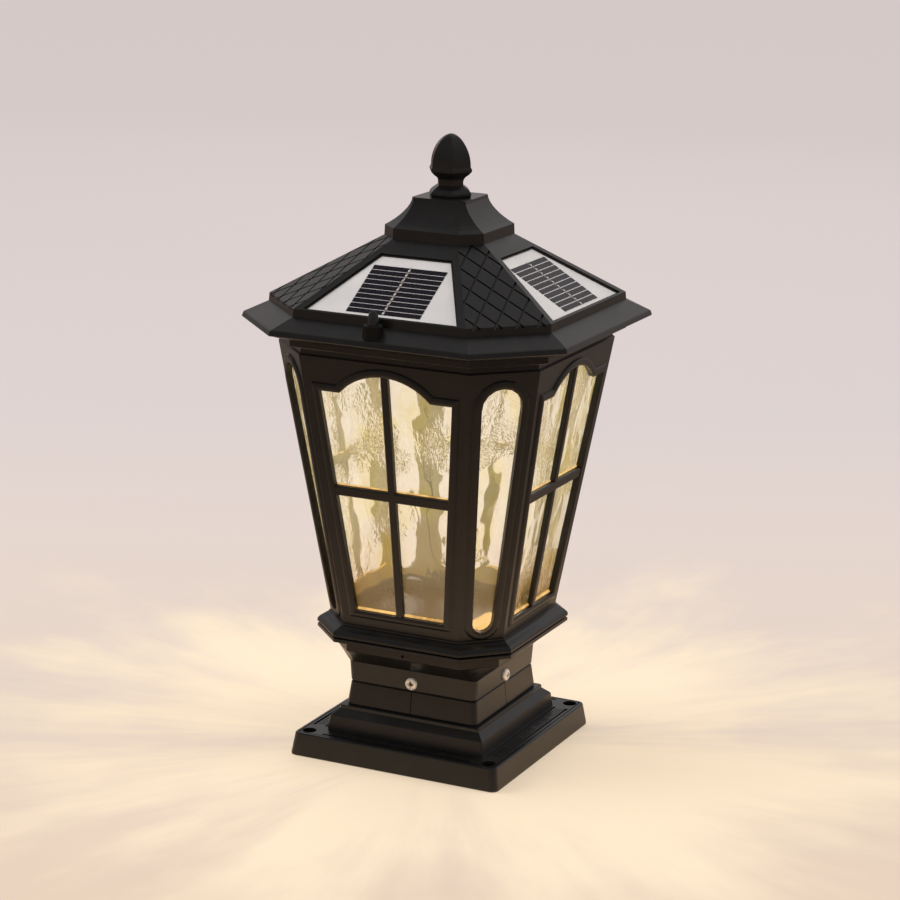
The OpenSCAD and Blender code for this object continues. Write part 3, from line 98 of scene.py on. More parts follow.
# %% Signals
class Signal:
    def __init__(self, nodes, socket):
        self.nodes, self.socket = nodes, socket

    def output(self, name):
        return Signal(self.nodes, self.socket.node.outputs[name])

    def maths(self, operation, *values):
        return self.nodes.node("ShaderNodeMath", {"operation": operation},
                               dict(enumerate(values)))

    def __add__(self, other):
        return self.maths("ADD", self, other)

    def __sub__(self, other):
        return self.maths("SUBTRACT", self, other)

    def __rsub__(self, other):
        return self.maths("SUBTRACT", other, self)

    def __mul__(self, other):
        return self.maths("MULTIPLY", self, other)

    __radd__, __rmul__ = __add__, __mul__


print("signals ready: + - * each add a Math node")


# %% Node trees and finishes
class NodeTree:
    def __init__(self, tree):
        self.tree = tree

    def set(self, node, sockets):
        for key, value in sockets.items():
            if isinstance(value, Signal):
                self.tree.links.new(value.socket, node.inputs[key])
            else:
                node.inputs[key].default_value = value

    def node(self, kind, settings=None, sockets=None, out=0):
        node = self.tree.nodes.new(kind)
        for key, value in (settings or {}).items():
            if key == "stops":
                ramp = node.color_ramp.elements
                while len(ramp) < len(value):
                    ramp.new(0.5)
                for stop, (at, colour) in zip(ramp, value):
                    stop.position, stop.color = at, (*colour, 1)
            else:
                setattr(node, key, value)
        self.set(node, sockets or {})
        return Signal(self, node.outputs[out])

    def ramp(self, factor, *stops):
        return self.node("ShaderNodeValToRGB", {"stops": stops}, {"Fac": factor})

    def between(self, factor, low, high, start=0.0, end=1.0, shape="LINEAR"):
        return self.node("ShaderNodeMapRange", {"interpolation_type": shape},
                         {"Value": factor, "From Min": start, "From Max": end,
                          "To Min": low, "To Max": high})

    def falloff(self, value, near, far, low, high):
        return self.between(value, low, high, near, far, "SMOOTHSTEP")

    def blend(self, factor, first, second, mode="MIX"):
        return self.node("ShaderNodeMix", {"data_type": "RGBA", "blend_type": mode},
                         {0: factor, 6: first, 7: second}, out=2)


class Finish(NodeTree):
    def __init__(self, name, **sockets):
        self.material = bpy.data.materials.new(name)
        self.material.use_nodes = True
        super().__init__(self.material.node_tree)
        self.shader = self.tree.nodes["Principled BSDF"]
        self.wear(**sockets)
        self.place = self.node("ShaderNodeTexCoord", out="Object")

    def wear(self, **sockets):
        self.set(self.shader, {key.replace("_", " "): value for key, value in sockets.items()})

    def noise(self, scale, detail=2, roughness=0.5, at=None, stretch=None):
        where = at or self.place
        if stretch:
            where = self.node("ShaderNodeMapping", {}, {"Vector": where, "Scale": stretch})
        return self.node("ShaderNodeTexNoise", {}, {"Vector": where, "Scale": scale,
                         "Detail": detail, "Roughness": roughness})

    def bump(self, height, distance, strength=1.0):
        return self.node("ShaderNodeBump", {}, {"Height": height, "Distance": distance,
                         "Strength": strength})

    def paint(self, *names):
        for name in names:
            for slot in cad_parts[name].material_slots:
                slot.link = "OBJECT"
                slot.material = self.material
        print(self.material.name, "on", ", ".join(names))


print("finishes ready")


# %% [markdown]
# ## The room
# The lantern stands on a pale warm floor that runs up into a rosy grey distance. One big plane
# does both jobs, because from this height the lens never sees over its far edge. The floor is
# warmest round the foot, where a painted pool of the lamp's light runs out in painted soft
# streaks: a noise read by direction and distance from the foot draws them. Its colour cools with
# distance. For the camera, and for rays that glance off metal or pass through glass, most of the
# floor shows its own colour directly. The rest is lit, and keeps the soft shadow. In the glossy
# rays the painted pool fades quickly, the floor turns amber and a dark patch lies off to the
# front right, so reflections see a darker, warmer floor than the camera does. This painted
# reflection keeps upright black faces black while the ones near the floor glow. A ray that went
# through glass counts as glossy too, so it is taken off first, or the floor behind the panes
# would go dark.

# %% Lay the floor
def clear_selection():
    if bpy.context.object and bpy.context.object.mode != "OBJECT":
        bpy.ops.object.mode_set(mode="OBJECT")
    bpy.ops.object.select_all(action="DESELECT")


hair_below_foot = -0.0004
clear_selection()
bpy.ops.mesh.primitive_plane_add(size=24, location=(0, 0, hair_below_foot))
floor = bpy.context.object
floor.name = "studio_floor"
floor_finish = Finish("warm_floor", Roughness=0.85)
print("floor laid,", round(floor.dimensions.x), "m wide")

# %% Colour the floor by distance
def floor_vector(operation, first, second=(0, 0, 0), out="Vector"):
    return floor_finish.node("ShaderNodeVectorMath", {"operation": operation},
                             {0: first, 1: second}, out)


away_from_camera = (-0.43, 0.9, 0)
along = floor_vector("DOT_PRODUCT", floor_finish.place, away_from_camera, out="Value")
from_foot = floor_vector("LENGTH", floor_finish.place, out="Value")
depth = floor_finish.between(along, 0.0, 1.0, start=-0.45, end=3.6)
distance_colour = floor_finish.ramp(depth, (0.0, (0.81, 0.63, 0.48)), (0.12, (0.78, 0.65, 0.55)),
                                    (0.24, (0.75, 0.65, 0.6)), (0.36, (0.69, 0.62, 0.61)),
                                    (0.6, (0.68, 0.605, 0.6)), (1.0, (0.7, 0.62, 0.61)))
print("floor colour runs through", len(distance_colour.socket.node.color_ramp.elements), "stops")

# %% Draw the streaks of light
streaks_in_a_turn, streaks_in_a_metre = 3.4, 3.2
light_end = 0.95
lamp_cream = (1.0, 0.83, 0.61, 1)
outward = floor_vector("NORMALIZE", floor_finish.place)
turn = floor_vector("MULTIPLY", outward, (streaks_in_a_turn,) * 3)
steps = floor_finish.node("ShaderNodeCombineXYZ", {}, {"Z": from_foot * streaks_in_a_metre})
streaks = floor_finish.noise(1.0, 4, 0.6, at=floor_vector("ADD", turn, steps))
clouds = floor_finish.noise(7, 3, 0.55)
# Painted light: the pool and streaks are lamp light painted into the floor's colour.
pool = floor_finish.falloff(from_foot, 0.1, 0.62, 1.0, 0.0)
lit_patches = floor_finish.falloff(pool * 0.7 + streaks * 1.3 + clouds * 0.6,
                                   1.1, 1.75, 0.0, 0.92)
within_reach = floor_finish.falloff(from_foot, 0.35, light_end, 1.0, 0.0)
floor_colour = floor_finish.blend(lit_patches * within_reach, distance_colour, lamp_cream)
floor_finish.wear(Base_Color=floor_colour)
print("light runs out", light_end, "m from the foot")

# %% Give the floor its own light
camera_ray = floor_finish.node("ShaderNodeLightPath", out="Is Camera Ray")
through_ray = camera_ray.output("Is Transmission Ray")
glossy_ray = camera_ray.output("Is Glossy Ray") * (1.0 - through_ray)
# Painted reflection: only glossy rays see the pool fade, the amber tint and the dark patch round
# dim_centre.
fade = floor_finish.falloff(from_foot, 0.2, 0.48, 1.0, 0.22)
dim_centre = (1.5, -0.75, 0)
from_dim_centre = floor_vector("DISTANCE", floor_finish.place, dim_centre, out="Value")
dim_spot = floor_finish.falloff(from_dim_centre, 0.6, 1.0, 0.02, 1.0)
mirrored = glossy_ray * fade * dim_spot + (1.0 - glossy_ray)
amber = (1.0, 0.73, 0.47, 1)
seen_colour = floor_finish.blend(glossy_ray, floor_colour, amber, mode="MULTIPLY")
own_light = floor_finish.node("ShaderNodeEmission", {},
                              {"Color": seen_colour, "Strength": mirrored})
own_share = floor_finish.falloff(from_foot, 0.11, 0.36, 0.35, 0.82)
lit_floor = Signal(floor_finish, floor_finish.shader.outputs[0])
lit_and_own = floor_finish.node("ShaderNodeMixShader", {}, {
    0: (camera_ray + glossy_ray + through_ray) * own_share, 1: lit_floor, 2: own_light})
floor_finish.set(floor_finish.tree.nodes["Material Output"], {"Surface": lit_and_own})
floor.data.materials.append(floor_finish.material)
print("floor finished:", len(floor_finish.tree.nodes), "nodes")

# %% [markdown]
# ## The light
# The sky of the studio is a soft rosy grey, a little brighter overhead. Two wide lamps, one
# high on the left and one on the right, and a low one behind give soft even light. They light
# surfaces but aren't mirrored in them, as if they shone through a large cloth. The sky looks
# dimmer in reflections too, most of all above and in front, so a black coat stays black while
# the faces that turn to the bright distance behind still shine.

# %% Set the sky
room = bpy.data.worlds.new("studio_sky")
room.use_nodes = True
bpy.context.scene.world = room
bpy.context.scene.view_settings.view_transform = "Standard"
sky = NodeTree(room.node_tree)
sky_place = sky.node("ShaderNodeTexCoord", out="Generated")
upward = sky.node("ShaderNodeSeparateXYZ", {}, {0: sky_place}, out="Z")
sky_colour = sky.ramp(upward, (0.0, (0.66, 0.6, 0.59)), (0.9, (0.72, 0.7, 0.7)))
sky_glossy = sky.node("ShaderNodeLightPath", out="Is Glossy Ray")
sky_mirrored = sky.node("ShaderNodeMath", {"operation": "SUBTRACT", "use_clamp": True},
                        {0: sky_glossy, 1: sky_glossy.output("Is Transmission Ray")})
power_in_mirrors = sky.between(upward.output("Y"), 0.3, 0.9, start=0.1, end=0.9)
sky_power = sky.between(sky_mirrored, 1.0, power_in_mirrors)
sky.set(sky.tree.nodes["Background"], {"Color": sky_colour, "Strength": sky_power})
print("sky drawn by", len(sky.tree.nodes), "nodes")


# %% Hang the lamps
lantern_middle = Vector((0, 0, 0.22))


def soft_lamp(name, place, size, watts, tint):
    data = bpy.data.lights.new(name, "AREA")
    data.shape, data.size, data.size_y = "RECTANGLE", size[0], size[1]
    data.energy, data.color = watts, tint
    lamp = bpy.data.objects.new(name, data)
    bpy.context.scene.collection.objects.link(lamp)
    lamp.location = place
    towards = lantern_middle - Vector(place)
    lamp.rotation_euler = towards.to_track_quat("-Z", "Y").to_euler()
    lamp.visible_glossy = False
    print(name, watts, "W at", place)


soft_lamp("left_lamp", (-2.2, -0.6, 1.9), (1.8, 1.8), 44, (1.0, 0.98, 0.96))
soft_lamp("right_lamp", (2.4, 0.9, 1.7), (1.6, 1.6), 32, (1.0, 0.97, 0.94))
soft_lamp("back_lamp", (-0.8, 2.4, 1.5), (2.2, 1.4), 20, (1.0, 0.95, 0.9))

# %% [markdown]
# ## Satin black powder coat
# The castings are aluminium under a black powder coat. Such paint is baked on as a powder, so
# it dries with a very fine orange peel and no brush marks, and it is neither matt nor shiny. A
# tiny noise drives the bump, and a broad one varies the roughness, as a coat is never even.
# Along the edges the coat thins and rubs a shade lighter, which Pointiness would find, but the
# solids have few vertices, so the wear comes from noise alone and stays very faint.

# %% Finish the castings
castings = Finish("satin_black_coat", Base_Color=(0.0065, 0.0062, 0.006, 1), Roughness=0.42,
                  Specular_IOR_Level=0.45)
peel = castings.noise(2600, 2, 0.6)
pits = castings.noise(620, 3, 0.55)
clouding = castings.noise(16, 3, 0.5)
dust = castings.noise(95, 4, 0.65)
castings.wear(Base_Color=castings.ramp(dust, (0.3, (0.005, 0.0048, 0.0046)),
                                       (0.62, (0.0075, 0.0071, 0.0068)),
                                       (0.85, (0.014, 0.013, 0.012))),
              Roughness=castings.between(clouding, 0.25, 0.38),
              Normal=castings.bump(peel * 0.6 + pits * 0.4, 0.00012, 0.35))
castings.paint("base_flange", "neck_collar", "post_fitter", "lantern_cage", "eaves_tray",
               "roof_shell", "finial")

# %% [markdown]
# ## Water glass
# The panes are cream glass with a rolled, watery surface. What is behind shows through, bent
# into soft blobs, and the melt has honey blots with crisp edges and drifts of fine squiggles.
# Waves in the bump do the bending, and a thin line where a noise crosses its middle value gives
# the squiggles. The panes also give off painted light for the lit chamber behind, which is
# brightest near the roof: a painted glow, dim and brown at the foot and pale above, which the
# blots and squiggles vary. One corner pane has a painted gold reflection of the lamp, which ends
# at a given height. The others are given a height below the cage, so they have none.

# %% Make a pane finish
lamp_gold, painted_foot_glow = (0.42, 0.23, 0.05, 1), (0.058, 0.03, 0.003, 1)
squiggle_cream, squiggle_glow = (0.86, 0.8, 0.66, 1), (0.05, 0.034, 0.016, 1)


def water_glass(name, gold_top, *nodes):
    glass = Finish(name, Roughness=0.035, IOR=1.42, Transmission_Weight=0.965,
                   Emission_Strength=1.0)
    height = glass.node("ShaderNodeSeparateXYZ", {}, {0: glass.place}, out="Z")
    waves = glass.noise(48, 1, 0.4, stretch=(1.0, 1.0, 0.62))
    creases = glass.noise(330, 2, 0.6, stretch=(1.0, 1.0, 0.7))
    drifts = glass.noise(23, 2, 0.5, stretch=(1.0, 1.0, 0.8))
    in_drift = glass.ramp(drifts, (0.46, (0, 0, 0)), (0.56, (1, 1, 1)))
    wriggle = glass.noise(150, 3, 0.6, stretch=(1.0, 1.0, 0.6))
    squiggle = glass.ramp(wriggle, (0.46, (0, 0, 0)), (0.49, (1, 1, 1)), (0.51, (1, 1, 1)),
                          (0.54, (0, 0, 0))) * in_drift
    blots = glass.noise(52, 3, 0.5, at=glass.node("ShaderNodeMapping", {}, {"Vector": glass.place,
                        "Location": (0.31, 0.17, 0.05), "Scale": (1.0, 1.0, 0.45)}))
    honey = glass.ramp(blots, (0.55, (0.915, 0.92, 0.915)), (0.565, (0.9, 0.895, 0.82)),
                       (0.66, (0.895, 0.87, 0.76)))
    glow = glass.ramp(blots, (0.55, (0.092, 0.07, 0.03)), (0.565, (0.095, 0.072, 0.02)),
                      (0.66, (0.097, 0.072, 0.015)))
    # Painted light: the emission is a painted glow for the lit chamber, dim at the foot, with a
    # painted gold lamp reflection below gold_top.
    up_the_pane = glass.falloff(height + waves * 0.01, 0.128, 0.165, 0.0, 1.0)
    painted_chamber_glow = glass.blend(up_the_pane, painted_foot_glow, glow)
    uneven = height + blots * 0.03 - 0.015
    gold = glass.falloff(uneven, gold_top - 1 * MM, gold_top, 1.0, 0.0)
    lit = glass.blend(gold, painted_chamber_glow, lamp_gold)
    glass.wear(Base_Color=glass.blend(squiggle * 0.75, honey, squiggle_cream),
               Emission_Color=glass.blend(squiggle * 0.5, lit, squiggle_glow),
               Normal=glass.bump(waves * 0.8 + creases * in_drift * 0.2, 0.0036, 1.0))
    glass.paint(*nodes)


print("pane finish ready")

# %% Finish the panes
no_gold, gold_height = 0.08, 0.1165
water_glass("cream_water_glass", no_gold, "pane_front", "pane_right", "pane_back", "pane_left")
water_glass("corner_water_glass", no_gold, "corner_pane_back_right", "corner_pane_back_left",
            "corner_pane_front_left")
# This pane carries the painted gold reflection of the lamp up to gold_height.
water_glass("painted_glint_glass", gold_height, "corner_pane_front_right")

# %% [markdown]
# ## Bright and plain metal
# The screws are stainless with the faint turning marks of a lathe. The four in the neck are
# polished, with painted shade in the driver's recess: the head darkens near each screw's axis,
# which a distance from that axis finds. The roof's screws are black oxide, a dull soot over
# steel. The hidden tube is duller zinc plate, which mottles into grey clouds.

# %% Finish the bright steel
steel = Finish("bright_steel", Base_Color=(0.66, 0.62, 0.56, 1), Metallic=1.0, Roughness=0.24)
turning = steel.noise(1800, 2, 0.6, stretch=(1.0, 1.0, 0.2))
steel.wear(Roughness=steel.between(turning, 0.16, 0.34),
           Normal=steel.bump(turning, 0.00006, 0.4))
steel.paint("stub_screws", "cage_foot_screws", "tray_screws",
            "led_cover_screws", "control_screws", "finial_bolt", "finial_washer", "switch_spring")

# %% Finish the polished heads
heads = Finish("polished_heads", Metallic=0.4, Roughness=0.3)
painted_recess_shade, polish = (0.05, 0.042, 0.035, 1), (0.95, 0.88, 0.76, 1)
x_place = heads.node("ShaderNodeSeparateXYZ", {}, {0: heads.place}, out="X")
y_place, z_place = x_place.output("Y"), x_place.output("Z")
screw_low, screw_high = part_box("neck_screws")
above = z_place - (screw_low[2] + screw_high[2]) / 2
beside = above.maths("MINIMUM", above.maths("ABSOLUTE", x_place),
                     above.maths("ABSOLUTE", y_place))
off_axis = above.maths("SQRT", above * above + beside * beside)
# Painted shade: within about 1.3 mm of the axis the head is dark, for the shade in the recess.
out_of_recess = heads.falloff(off_axis, 1.3 * MM, 1.9 * MM, 0.0, 1.0)
heads.wear(Base_Color=heads.blend(out_of_recess, painted_recess_shade, polish),
           Normal=heads.bump(heads.noise(1800, 2, 0.6), 0.00005, 0.4))
heads.paint("neck_screws")

# %% Finish the hidden metal
oxide = Finish("black_oxide", Base_Color=(0.014, 0.013, 0.013, 1), Metallic=0.6, Roughness=0.5)
soot = oxide.noise(900, 3, 0.6)
oxide.wear(Base_Color=oxide.ramp(soot, (0.3, (0.009, 0.009, 0.009)), (0.7, (0.022, 0.021, 0.02))),
           Roughness=oxide.between(soot, 0.4, 0.6))
oxide.paint("roof_screws")
zinc = Finish("zinc_plate", Base_Color=(0.42, 0.42, 0.4, 1), Metallic=0.9, Roughness=0.45)
spangle = zinc.node("ShaderNodeTexVoronoi", {}, {"Vector": zinc.place, "Scale": 160.0})
zinc.wear(Base_Color=zinc.ramp(spangle, (0.1, (0.36, 0.36, 0.35)), (0.8, (0.5, 0.5, 0.48))),
          Roughness=zinc.between(spangle, 0.35, 0.55))
zinc.paint("post_stub")

# %% [markdown]
# ## Solar panels
# A small panel is a white board with strips of dark cell laid on it and a clear satin skin over
# all. The strips look black until light catches them, when they turn violet. A clear coat over
# a near-black base gives both. The board is a soft light grey with a fine tooth.

# %% Finish the boards
board = Finish("pale_board", Base_Color=(0.62, 0.61, 0.6, 1), Roughness=0.42)
tooth = board.noise(1400, 2, 0.6)
stain = board.noise(30, 3, 0.5)
board.wear(Base_Color=board.ramp(stain, (0.3, (0.59, 0.58, 0.575)), (0.7, (0.66, 0.65, 0.64))),
           Roughness=board.between(tooth, 0.34, 0.5), Normal=board.bump(tooth, 0.00005, 0.3))
board.paint("solar_panel_front", "solar_panel_right", "solar_panel_back", "solar_panel_left")

# %% Finish the cells and their busbars
cells = Finish("violet_cell", Base_Color=(0.018, 0.016, 0.026, 1), Roughness=0.25,
               Specular_IOR_Level=0.1, Coat_Weight=0.28, Coat_Roughness=0.18)
grain = cells.noise(240, 3, 0.55)
cells.wear(Base_Color=cells.ramp(grain, (0.3, (0.0025, 0.0022, 0.005)),
                                 (0.7, (0.007, 0.0055, 0.012))),
           Roughness=cells.between(grain, 0.2, 0.34))
cells.paint("solar_cells_front", "solar_cells_right", "solar_cells_back", "solar_cells_left")
solder = Finish("dull_solder", Base_Color=(0.52, 0.49, 0.42, 1), Metallic=0.85, Roughness=0.4)
blobs = solder.noise(700, 3, 0.6)
solder.wear(Base_Color=solder.ramp(blobs, (0.35, (0.42, 0.38, 0.3)), (0.65, (0.66, 0.63, 0.58))),
            Normal=solder.bump(blobs, 0.0002, 0.6))
solder.paint("panel_busbars")

# %% [markdown]
# ## Inside the head
# Few people ever see these parts, but the lantern can be opened and looked into from below:
# moulded plastics, two sleeved battery cells, a green board and the white board of the light.

# %% Finish the inner parts
def moulded(name, colour, roughness, *nodes, **sockets):
    finish = Finish(name, Roughness=roughness, **sockets)
    skin = finish.noise(900, 2, 0.6)
    wide = finish.noise(40, 2, 0.5)
    dark = tuple(0.85 * c for c in colour)
    finish.wear(Base_Color=finish.ramp(wide, (0.3, dark), (0.7, colour)),
                Roughness=finish.between(skin, roughness * 0.85, min(1.0, roughness * 1.2)),
                Normal=finish.bump(skin, 0.00006, 0.35))
    if nodes:
        finish.paint(*nodes)
    return finish


moulded("button_black", (0.012, 0.012, 0.013), 0.22, "switch_button")
moulded("switch_black", (0.04, 0.04, 0.042), 0.5, "switch_body")
moulded("holder_black", (0.03, 0.03, 0.032), 0.55, "battery_holder")
moulded("sleeve_blue", (0.05, 0.2, 0.46), 0.3, "battery_cells")
moulded("mask_green", (0.03, 0.15, 0.07), 0.4, "control_board")
moulded("chip_black", (0.03, 0.032, 0.035), 0.5, "control_parts")
moulded("mask_white", (0.78, 0.78, 0.75), 0.45, "led_board")
moulded("phosphor", (0.9, 0.7, 0.22), 0.4, "led_chips")
moulded("milky_cover", (0.88, 0.87, 0.82), 0.4, "led_cover", Transmission_Weight=0.35)

# %% [markdown]
# ## Pieces the solids leave out
# Some real pieces are too small for measured solids but catch the light: the clear bead that
# seals each pane to its sill, the solder along each busbar, the black sealant round each board
# and the ribbed sleeve under the button. Each is shaped once on a flat drawing plane, x across
# and y up, then laid on its wall or roof slope by one matrix, and copied round the four sides.

# %% Lay out the drawing planes
def drawing_plane(out, height, lean):
    foot = Matrix.Translation((0, -out, height))
    return foot @ Matrix.Rotation(math.radians(lean), 4, "X")


SIDES = ("front", "right", "back", "left")
wall_plane = drawing_plane(out=0.0673, height=0.0994, lean=99.211)
slope_plane = drawing_plane(out=0.106, height=0.3274, lean=30.8)
print("drawing planes for", ", ".join(SIDES))


# %% Tools for edit mode
def select_where(mesh_object, kind, test):
    bpy.ops.mesh.select_all(action="DESELECT")
    bpy.ops.object.mode_set(mode="OBJECT")
    found = 0
    for part in getattr(mesh_object.data, kind):
        where = part.center if kind == "polygons" else part.co
        part.select = test(where, part.normal)
        found += part.select
    bpy.ops.object.mode_set(mode="EDIT")
    return found


def tidy_mesh():
    bpy.ops.mesh.select_all(action="SELECT")
    bpy.ops.mesh.remove_doubles(threshold=0.000005)
    bpy.ops.mesh.normals_make_consistent(inside=False)
    bpy.ops.object.mode_set(mode="OBJECT")


def keep_place():
    bpy.ops.object.transform_apply(location=True, rotation=True, scale=True)


print("edit tools ready")


# %% Join, copy and set round the lantern
def make_active(piece):
    clear_selection()
    piece.select_set(True)
    bpy.context.view_layer.objects.active = piece


def joined(parts, name):
    make_active(parts[0])
    for part in parts:
        part.select_set(True)
    bpy.ops.object.join()
    parts[0].name = name
    return parts[0]


def copy_of(source, matrix):
    twin = source.copy()
    twin.data = source.data.copy()
    twin.data.transform(matrix)
    bpy.context.scene.collection.objects.link(twin)
    return twin


def all_round(source, name, plane, finish):
    for k, side in enumerate(SIDES):
        piece = copy_of(source, Matrix.Rotation(k * math.pi / 2, 4, "Z") @ plane)
        piece.name = name + "_" + side
        piece.data.name = piece.name
        piece.data.materials.clear()
        piece.data.materials.append(finish.material)
        make_active(piece)
        bpy.ops.object.shade_smooth_by_angle(angle=math.radians(35))
        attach(piece, "lantern")
    bpy.data.objects.remove(source)
    print(name, "on", len(SIDES), "sides")


print("copies turn by", 360 // len(SIDES), "degrees")

# %% [markdown]
# ### Clear sealant beads
# A finger-wiped bead is a quarter round that lies in the corner between glass and sill. A full
# round bar is the easy start: two cuts leave the quarter, and a bevel softens its edges. The
# cuts run a hair off the bar's axis, so that they never pass through its corner points. The
# sealant is clear, but its finish is painted light: an amber colour that gives off a little
# light, a painted glow of the lamp's light along each sill.

# %% Shape the beads
glass_face, hair = -3.0 * MM, 0.01 * MM


def bead(start, end, ledge, radius):
    clear_selection()
    bpy.ops.mesh.primitive_cylinder_add(vertices=20, radius=radius, depth=end - start,
                                        location=((start + end) / 2, ledge, glass_face),
                                        rotation=(0, math.pi / 2, 0))
    bar = bpy.context.object
    keep_place()
    bpy.ops.object.mode_set(mode="EDIT")
    for normal in ((0, 1, 0), (0, 0, 1)):
        bpy.ops.mesh.select_all(action="SELECT")
        bpy.ops.mesh.bisect(plane_co=(start, ledge + hair, glass_face + hair), plane_no=normal,
                            use_fill=True, clear_inner=True)
    bpy.ops.mesh.select_all(action="SELECT")
    bpy.ops.mesh.bevel(offset=0.12 * MM, segments=1)
    tidy_mesh()
    return bar


glazing_bar_edge = 2.75 * MM
sill = {"reach": 33.7 * MM, "ledge": 11.5 * MM, "radius": 1.5 * MM}
lintel = {"reach": 42.8 * MM, "ledge": 104.73 * MM, "radius": 0.9 * MM}
beads = []
for run in (sill, lintel):
    for hand in (-1, 1):
        near, far = sorted((hand * glazing_bar_edge, hand * run["reach"]))
        beads.append(bead(near, far, run["ledge"], run["radius"]))
print(len(beads), "beads to a window")

# %% Finish the beads
# Painted light: the amber colour and the emission stand for the lamp's light on the sill.
amber_bead = Finish("sealant_with_painted_glow", Roughness=0.3, Emission_Strength=1.0)
smear_and_glow = amber_bead.noise(130, 3, 0.6)
amber_bead.wear(Base_Color=amber_bead.ramp(smear_and_glow, (0.3, (0.45, 0.3, 0.12)),
                                           (0.7, (0.7, 0.5, 0.24))),
                Emission_Color=amber_bead.ramp(smear_and_glow, (0.35, (0.3, 0.15, 0.03)),
                                               (0.62, (0.62, 0.36, 0.09))),
                Roughness=amber_bead.between(smear_and_glow, 0.2, 0.4),
                Normal=amber_bead.bump(smear_and_glow, 0.0003, 0.5))
all_round(joined(beads, "bead_start"), "glazing_bead", wall_plane, amber_bead)

# %% [markdown]
# ### Solder along the busbars
# Each row of cell is soldered to the busbar by hand, so a row has its own small blob, never
# quite like the next. A ball is cut in half and pressed flat, then copied up the panel with a
# small turn and stretch that come from the row's number, so every run gives the same blobs.

# %% Shape the solder
clear_selection()
bpy.ops.mesh.primitive_uv_sphere_add(segments=14, ring_count=8, radius=0.95 * MM)
blob = bpy.context.object
bpy.ops.object.mode_set(mode="EDIT")
bpy.ops.mesh.bisect(plane_co=(0, 0, 0), plane_no=(0, 0, 1), use_fill=True, clear_inner=True)
bpy.ops.mesh.select_all(action="SELECT")
bpy.ops.transform.resize(value=(0.85, 1.35, 0.5))
tidy_mesh()
rows, first_row, row_pitch, busbar_face = 10, 6.9, 4.86, -1.75 * MM
blobs_up = []
for row in range(rows):
    wobble = math.sin(row * 2.4)
    lay = (Matrix.Translation((0.12 * MM * wobble, (first_row + row_pitch * row) * MM, busbar_face))
           @ Matrix.Rotation(0.5 * wobble, 4, "Z")
           @ Matrix.Diagonal((1 + 0.2 * wobble, 1 - 0.25 * wobble, 1, 1)))
    blobs_up.append(copy_of(blob, lay))
bpy.data.objects.remove(blob)
print(len(blobs_up), "blobs to a busbar")

# %% Finish the solder
fresh_solder = Finish("fresh_solder", Metallic=0.55, Roughness=0.35)
frost = fresh_solder.noise(900, 3, 0.6)
fresh_solder.wear(Base_Color=fresh_solder.ramp(frost, (0.35, (0.74, 0.68, 0.62)),
                                               (0.65, (0.9, 0.88, 0.84))),
                  Normal=fresh_solder.bump(frost, 0.0002, 0.6))
all_round(joined(blobs_up, "solder_start"), "solder_blobs", slope_plane, fresh_solder)

# %% [markdown]
# ### Sealant round the boards
# The boards are bedded in black sealant, which squeezes up as a thin rim. The rim is drawn as
# one flat face in the board's own outline, inset to a frame, and the frame is raised and
# rounded. The face starts as a unit square with its lower edge on the plane's x axis, and each
# edge is then given its own width and level.

# %% Shape the sealant
clear_selection()
pocket_floor = -2.0 * MM
bpy.ops.mesh.primitive_plane_add(size=1, location=(0, 0.5, pocket_floor))
rim = bpy.context.object
keep_place()
bpy.ops.object.mode_set(mode="EDIT")
for old_level, half_width, level in ((0.0, 57.1 * MM, 1.9 * MM), (1.0, 26.5 * MM, 63.7 * MM)):
    select_where(rim, "vertices", lambda where, _: abs(where.y - old_level) < 0.5)
    bpy.ops.transform.resize(value=(2 * half_width, 1, 1), center_override=(0, 0, 0))
    bpy.ops.transform.translate(value=(0, level - old_level, 0))
bpy.ops.mesh.select_all(action="SELECT")
bpy.ops.mesh.inset(thickness=0.9 * MM)
bpy.ops.mesh.delete(type="FACE")
bpy.ops.mesh.select_all(action="SELECT")
bpy.ops.mesh.extrude_region_move(TRANSFORM_OT_translate={"value": (0, 0, 0.75 * MM)})
bpy.ops.mesh.select_all(action="SELECT")
bpy.ops.mesh.bevel(offset=0.2 * MM, segments=2)
tidy_mesh()
print("sealant rim:", len(rim.data.polygons), "faces")

# %% Finish the sealant
sealant = Finish("black_sealant", Roughness=0.4)
lumps = sealant.noise(260, 3, 0.6)
sealant.wear(Base_Color=sealant.ramp(lumps, (0.3, (0.008, 0.008, 0.008)),
                                     (0.7, (0.018, 0.017, 0.016))),
             Roughness=sealant.between(lumps, 0.3, 0.55), Normal=sealant.bump(lumps, 0.0003, 0.6))
all_round(rim, "board_sealant", slope_plane, sealant)

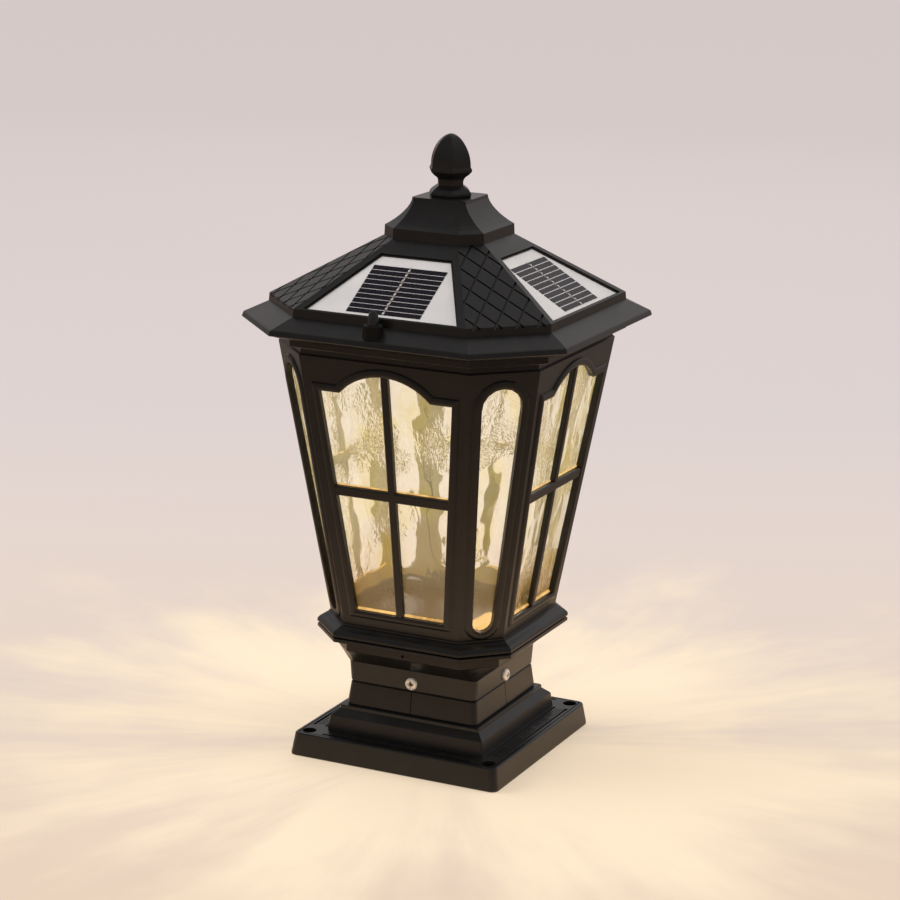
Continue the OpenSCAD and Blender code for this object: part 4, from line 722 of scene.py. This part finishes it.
# %% [markdown]
# ### The ribbed sleeve
# The button stands in a rubbery black sleeve with upright ribs, which pick up thin streaks of
# light. A cone without caps is the start. Every second face is inset and pushed out as a rib,
# and a Solidify modifier gives the wall its thickness.

# %% Shape the sleeve
button_y, sleeve_middle = -113.5 * MM, 319.4 * MM
facets = 32
clear_selection()
bpy.ops.mesh.primitive_cone_add(vertices=facets, radius1=7.15 * MM, radius2=6.42 * MM,
                                depth=9.6 * MM, end_fill_type="NOTHING",
                                location=(0, button_y, sleeve_middle))
sleeve = bpy.context.object
keep_place()
bpy.ops.object.mode_set(mode="EDIT")


def on_a_rib(where, _):
    bearing = math.degrees(math.atan2(where.y - button_y, where.x)) % 360
    return int(bearing / (360 / facets)) % 2 == 0


ribs = select_where(sleeve, "polygons", on_a_rib)
bpy.ops.mesh.inset(thickness=0.22 * MM, depth=0.2 * MM, use_individual=True)
tidy_mesh()
wall = sleeve.modifiers.new("wall", "SOLIDIFY")
wall.thickness, wall.offset = 0.3 * MM, -1.0
bpy.ops.object.modifier_apply(modifier="wall")
bpy.ops.object.shade_smooth_by_angle(angle=math.radians(25))
sleeve.name = sleeve.data.name = "switch_sleeve"
print("sleeve with", ribs, "ribs")

# %% Finish the sleeve
sleeve_rubber = moulded("sleeve_rubber", (0.004, 0.004, 0.0045), 0.2, Specular_IOR_Level=0.25)
sleeve.data.materials.clear()
sleeve.data.materials.append(sleeve_rubber.material)
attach(sleeve, "lantern")
print(sleeve_rubber.material.name, "on", sleeve.name)

# %% [markdown]
# ### The spring under the button
# When the button goes down, its spring gets shorter. A measured solid can't, so the spring is
# a merged copy of its own mesh in bright steel, which takes the measured spring's place on the
# button's axis, 113.5 mm in front of the lantern's own. The button travels 2 mm.

# %% Copy the spring
coil = bpy.data.objects.new("squeezed_spring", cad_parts["switch_spring"].data.copy())
bpy.context.scene.collection.objects.link(coil)
make_active(coil)
bpy.ops.object.mode_set(mode="EDIT")
tidy_mesh()
coil.data.materials.clear()
coil.data.materials.append(steel.material)
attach(coil, "lantern")
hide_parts("switch_spring")
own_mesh(coil)

# %% Close the lesson
print("lesson closed")
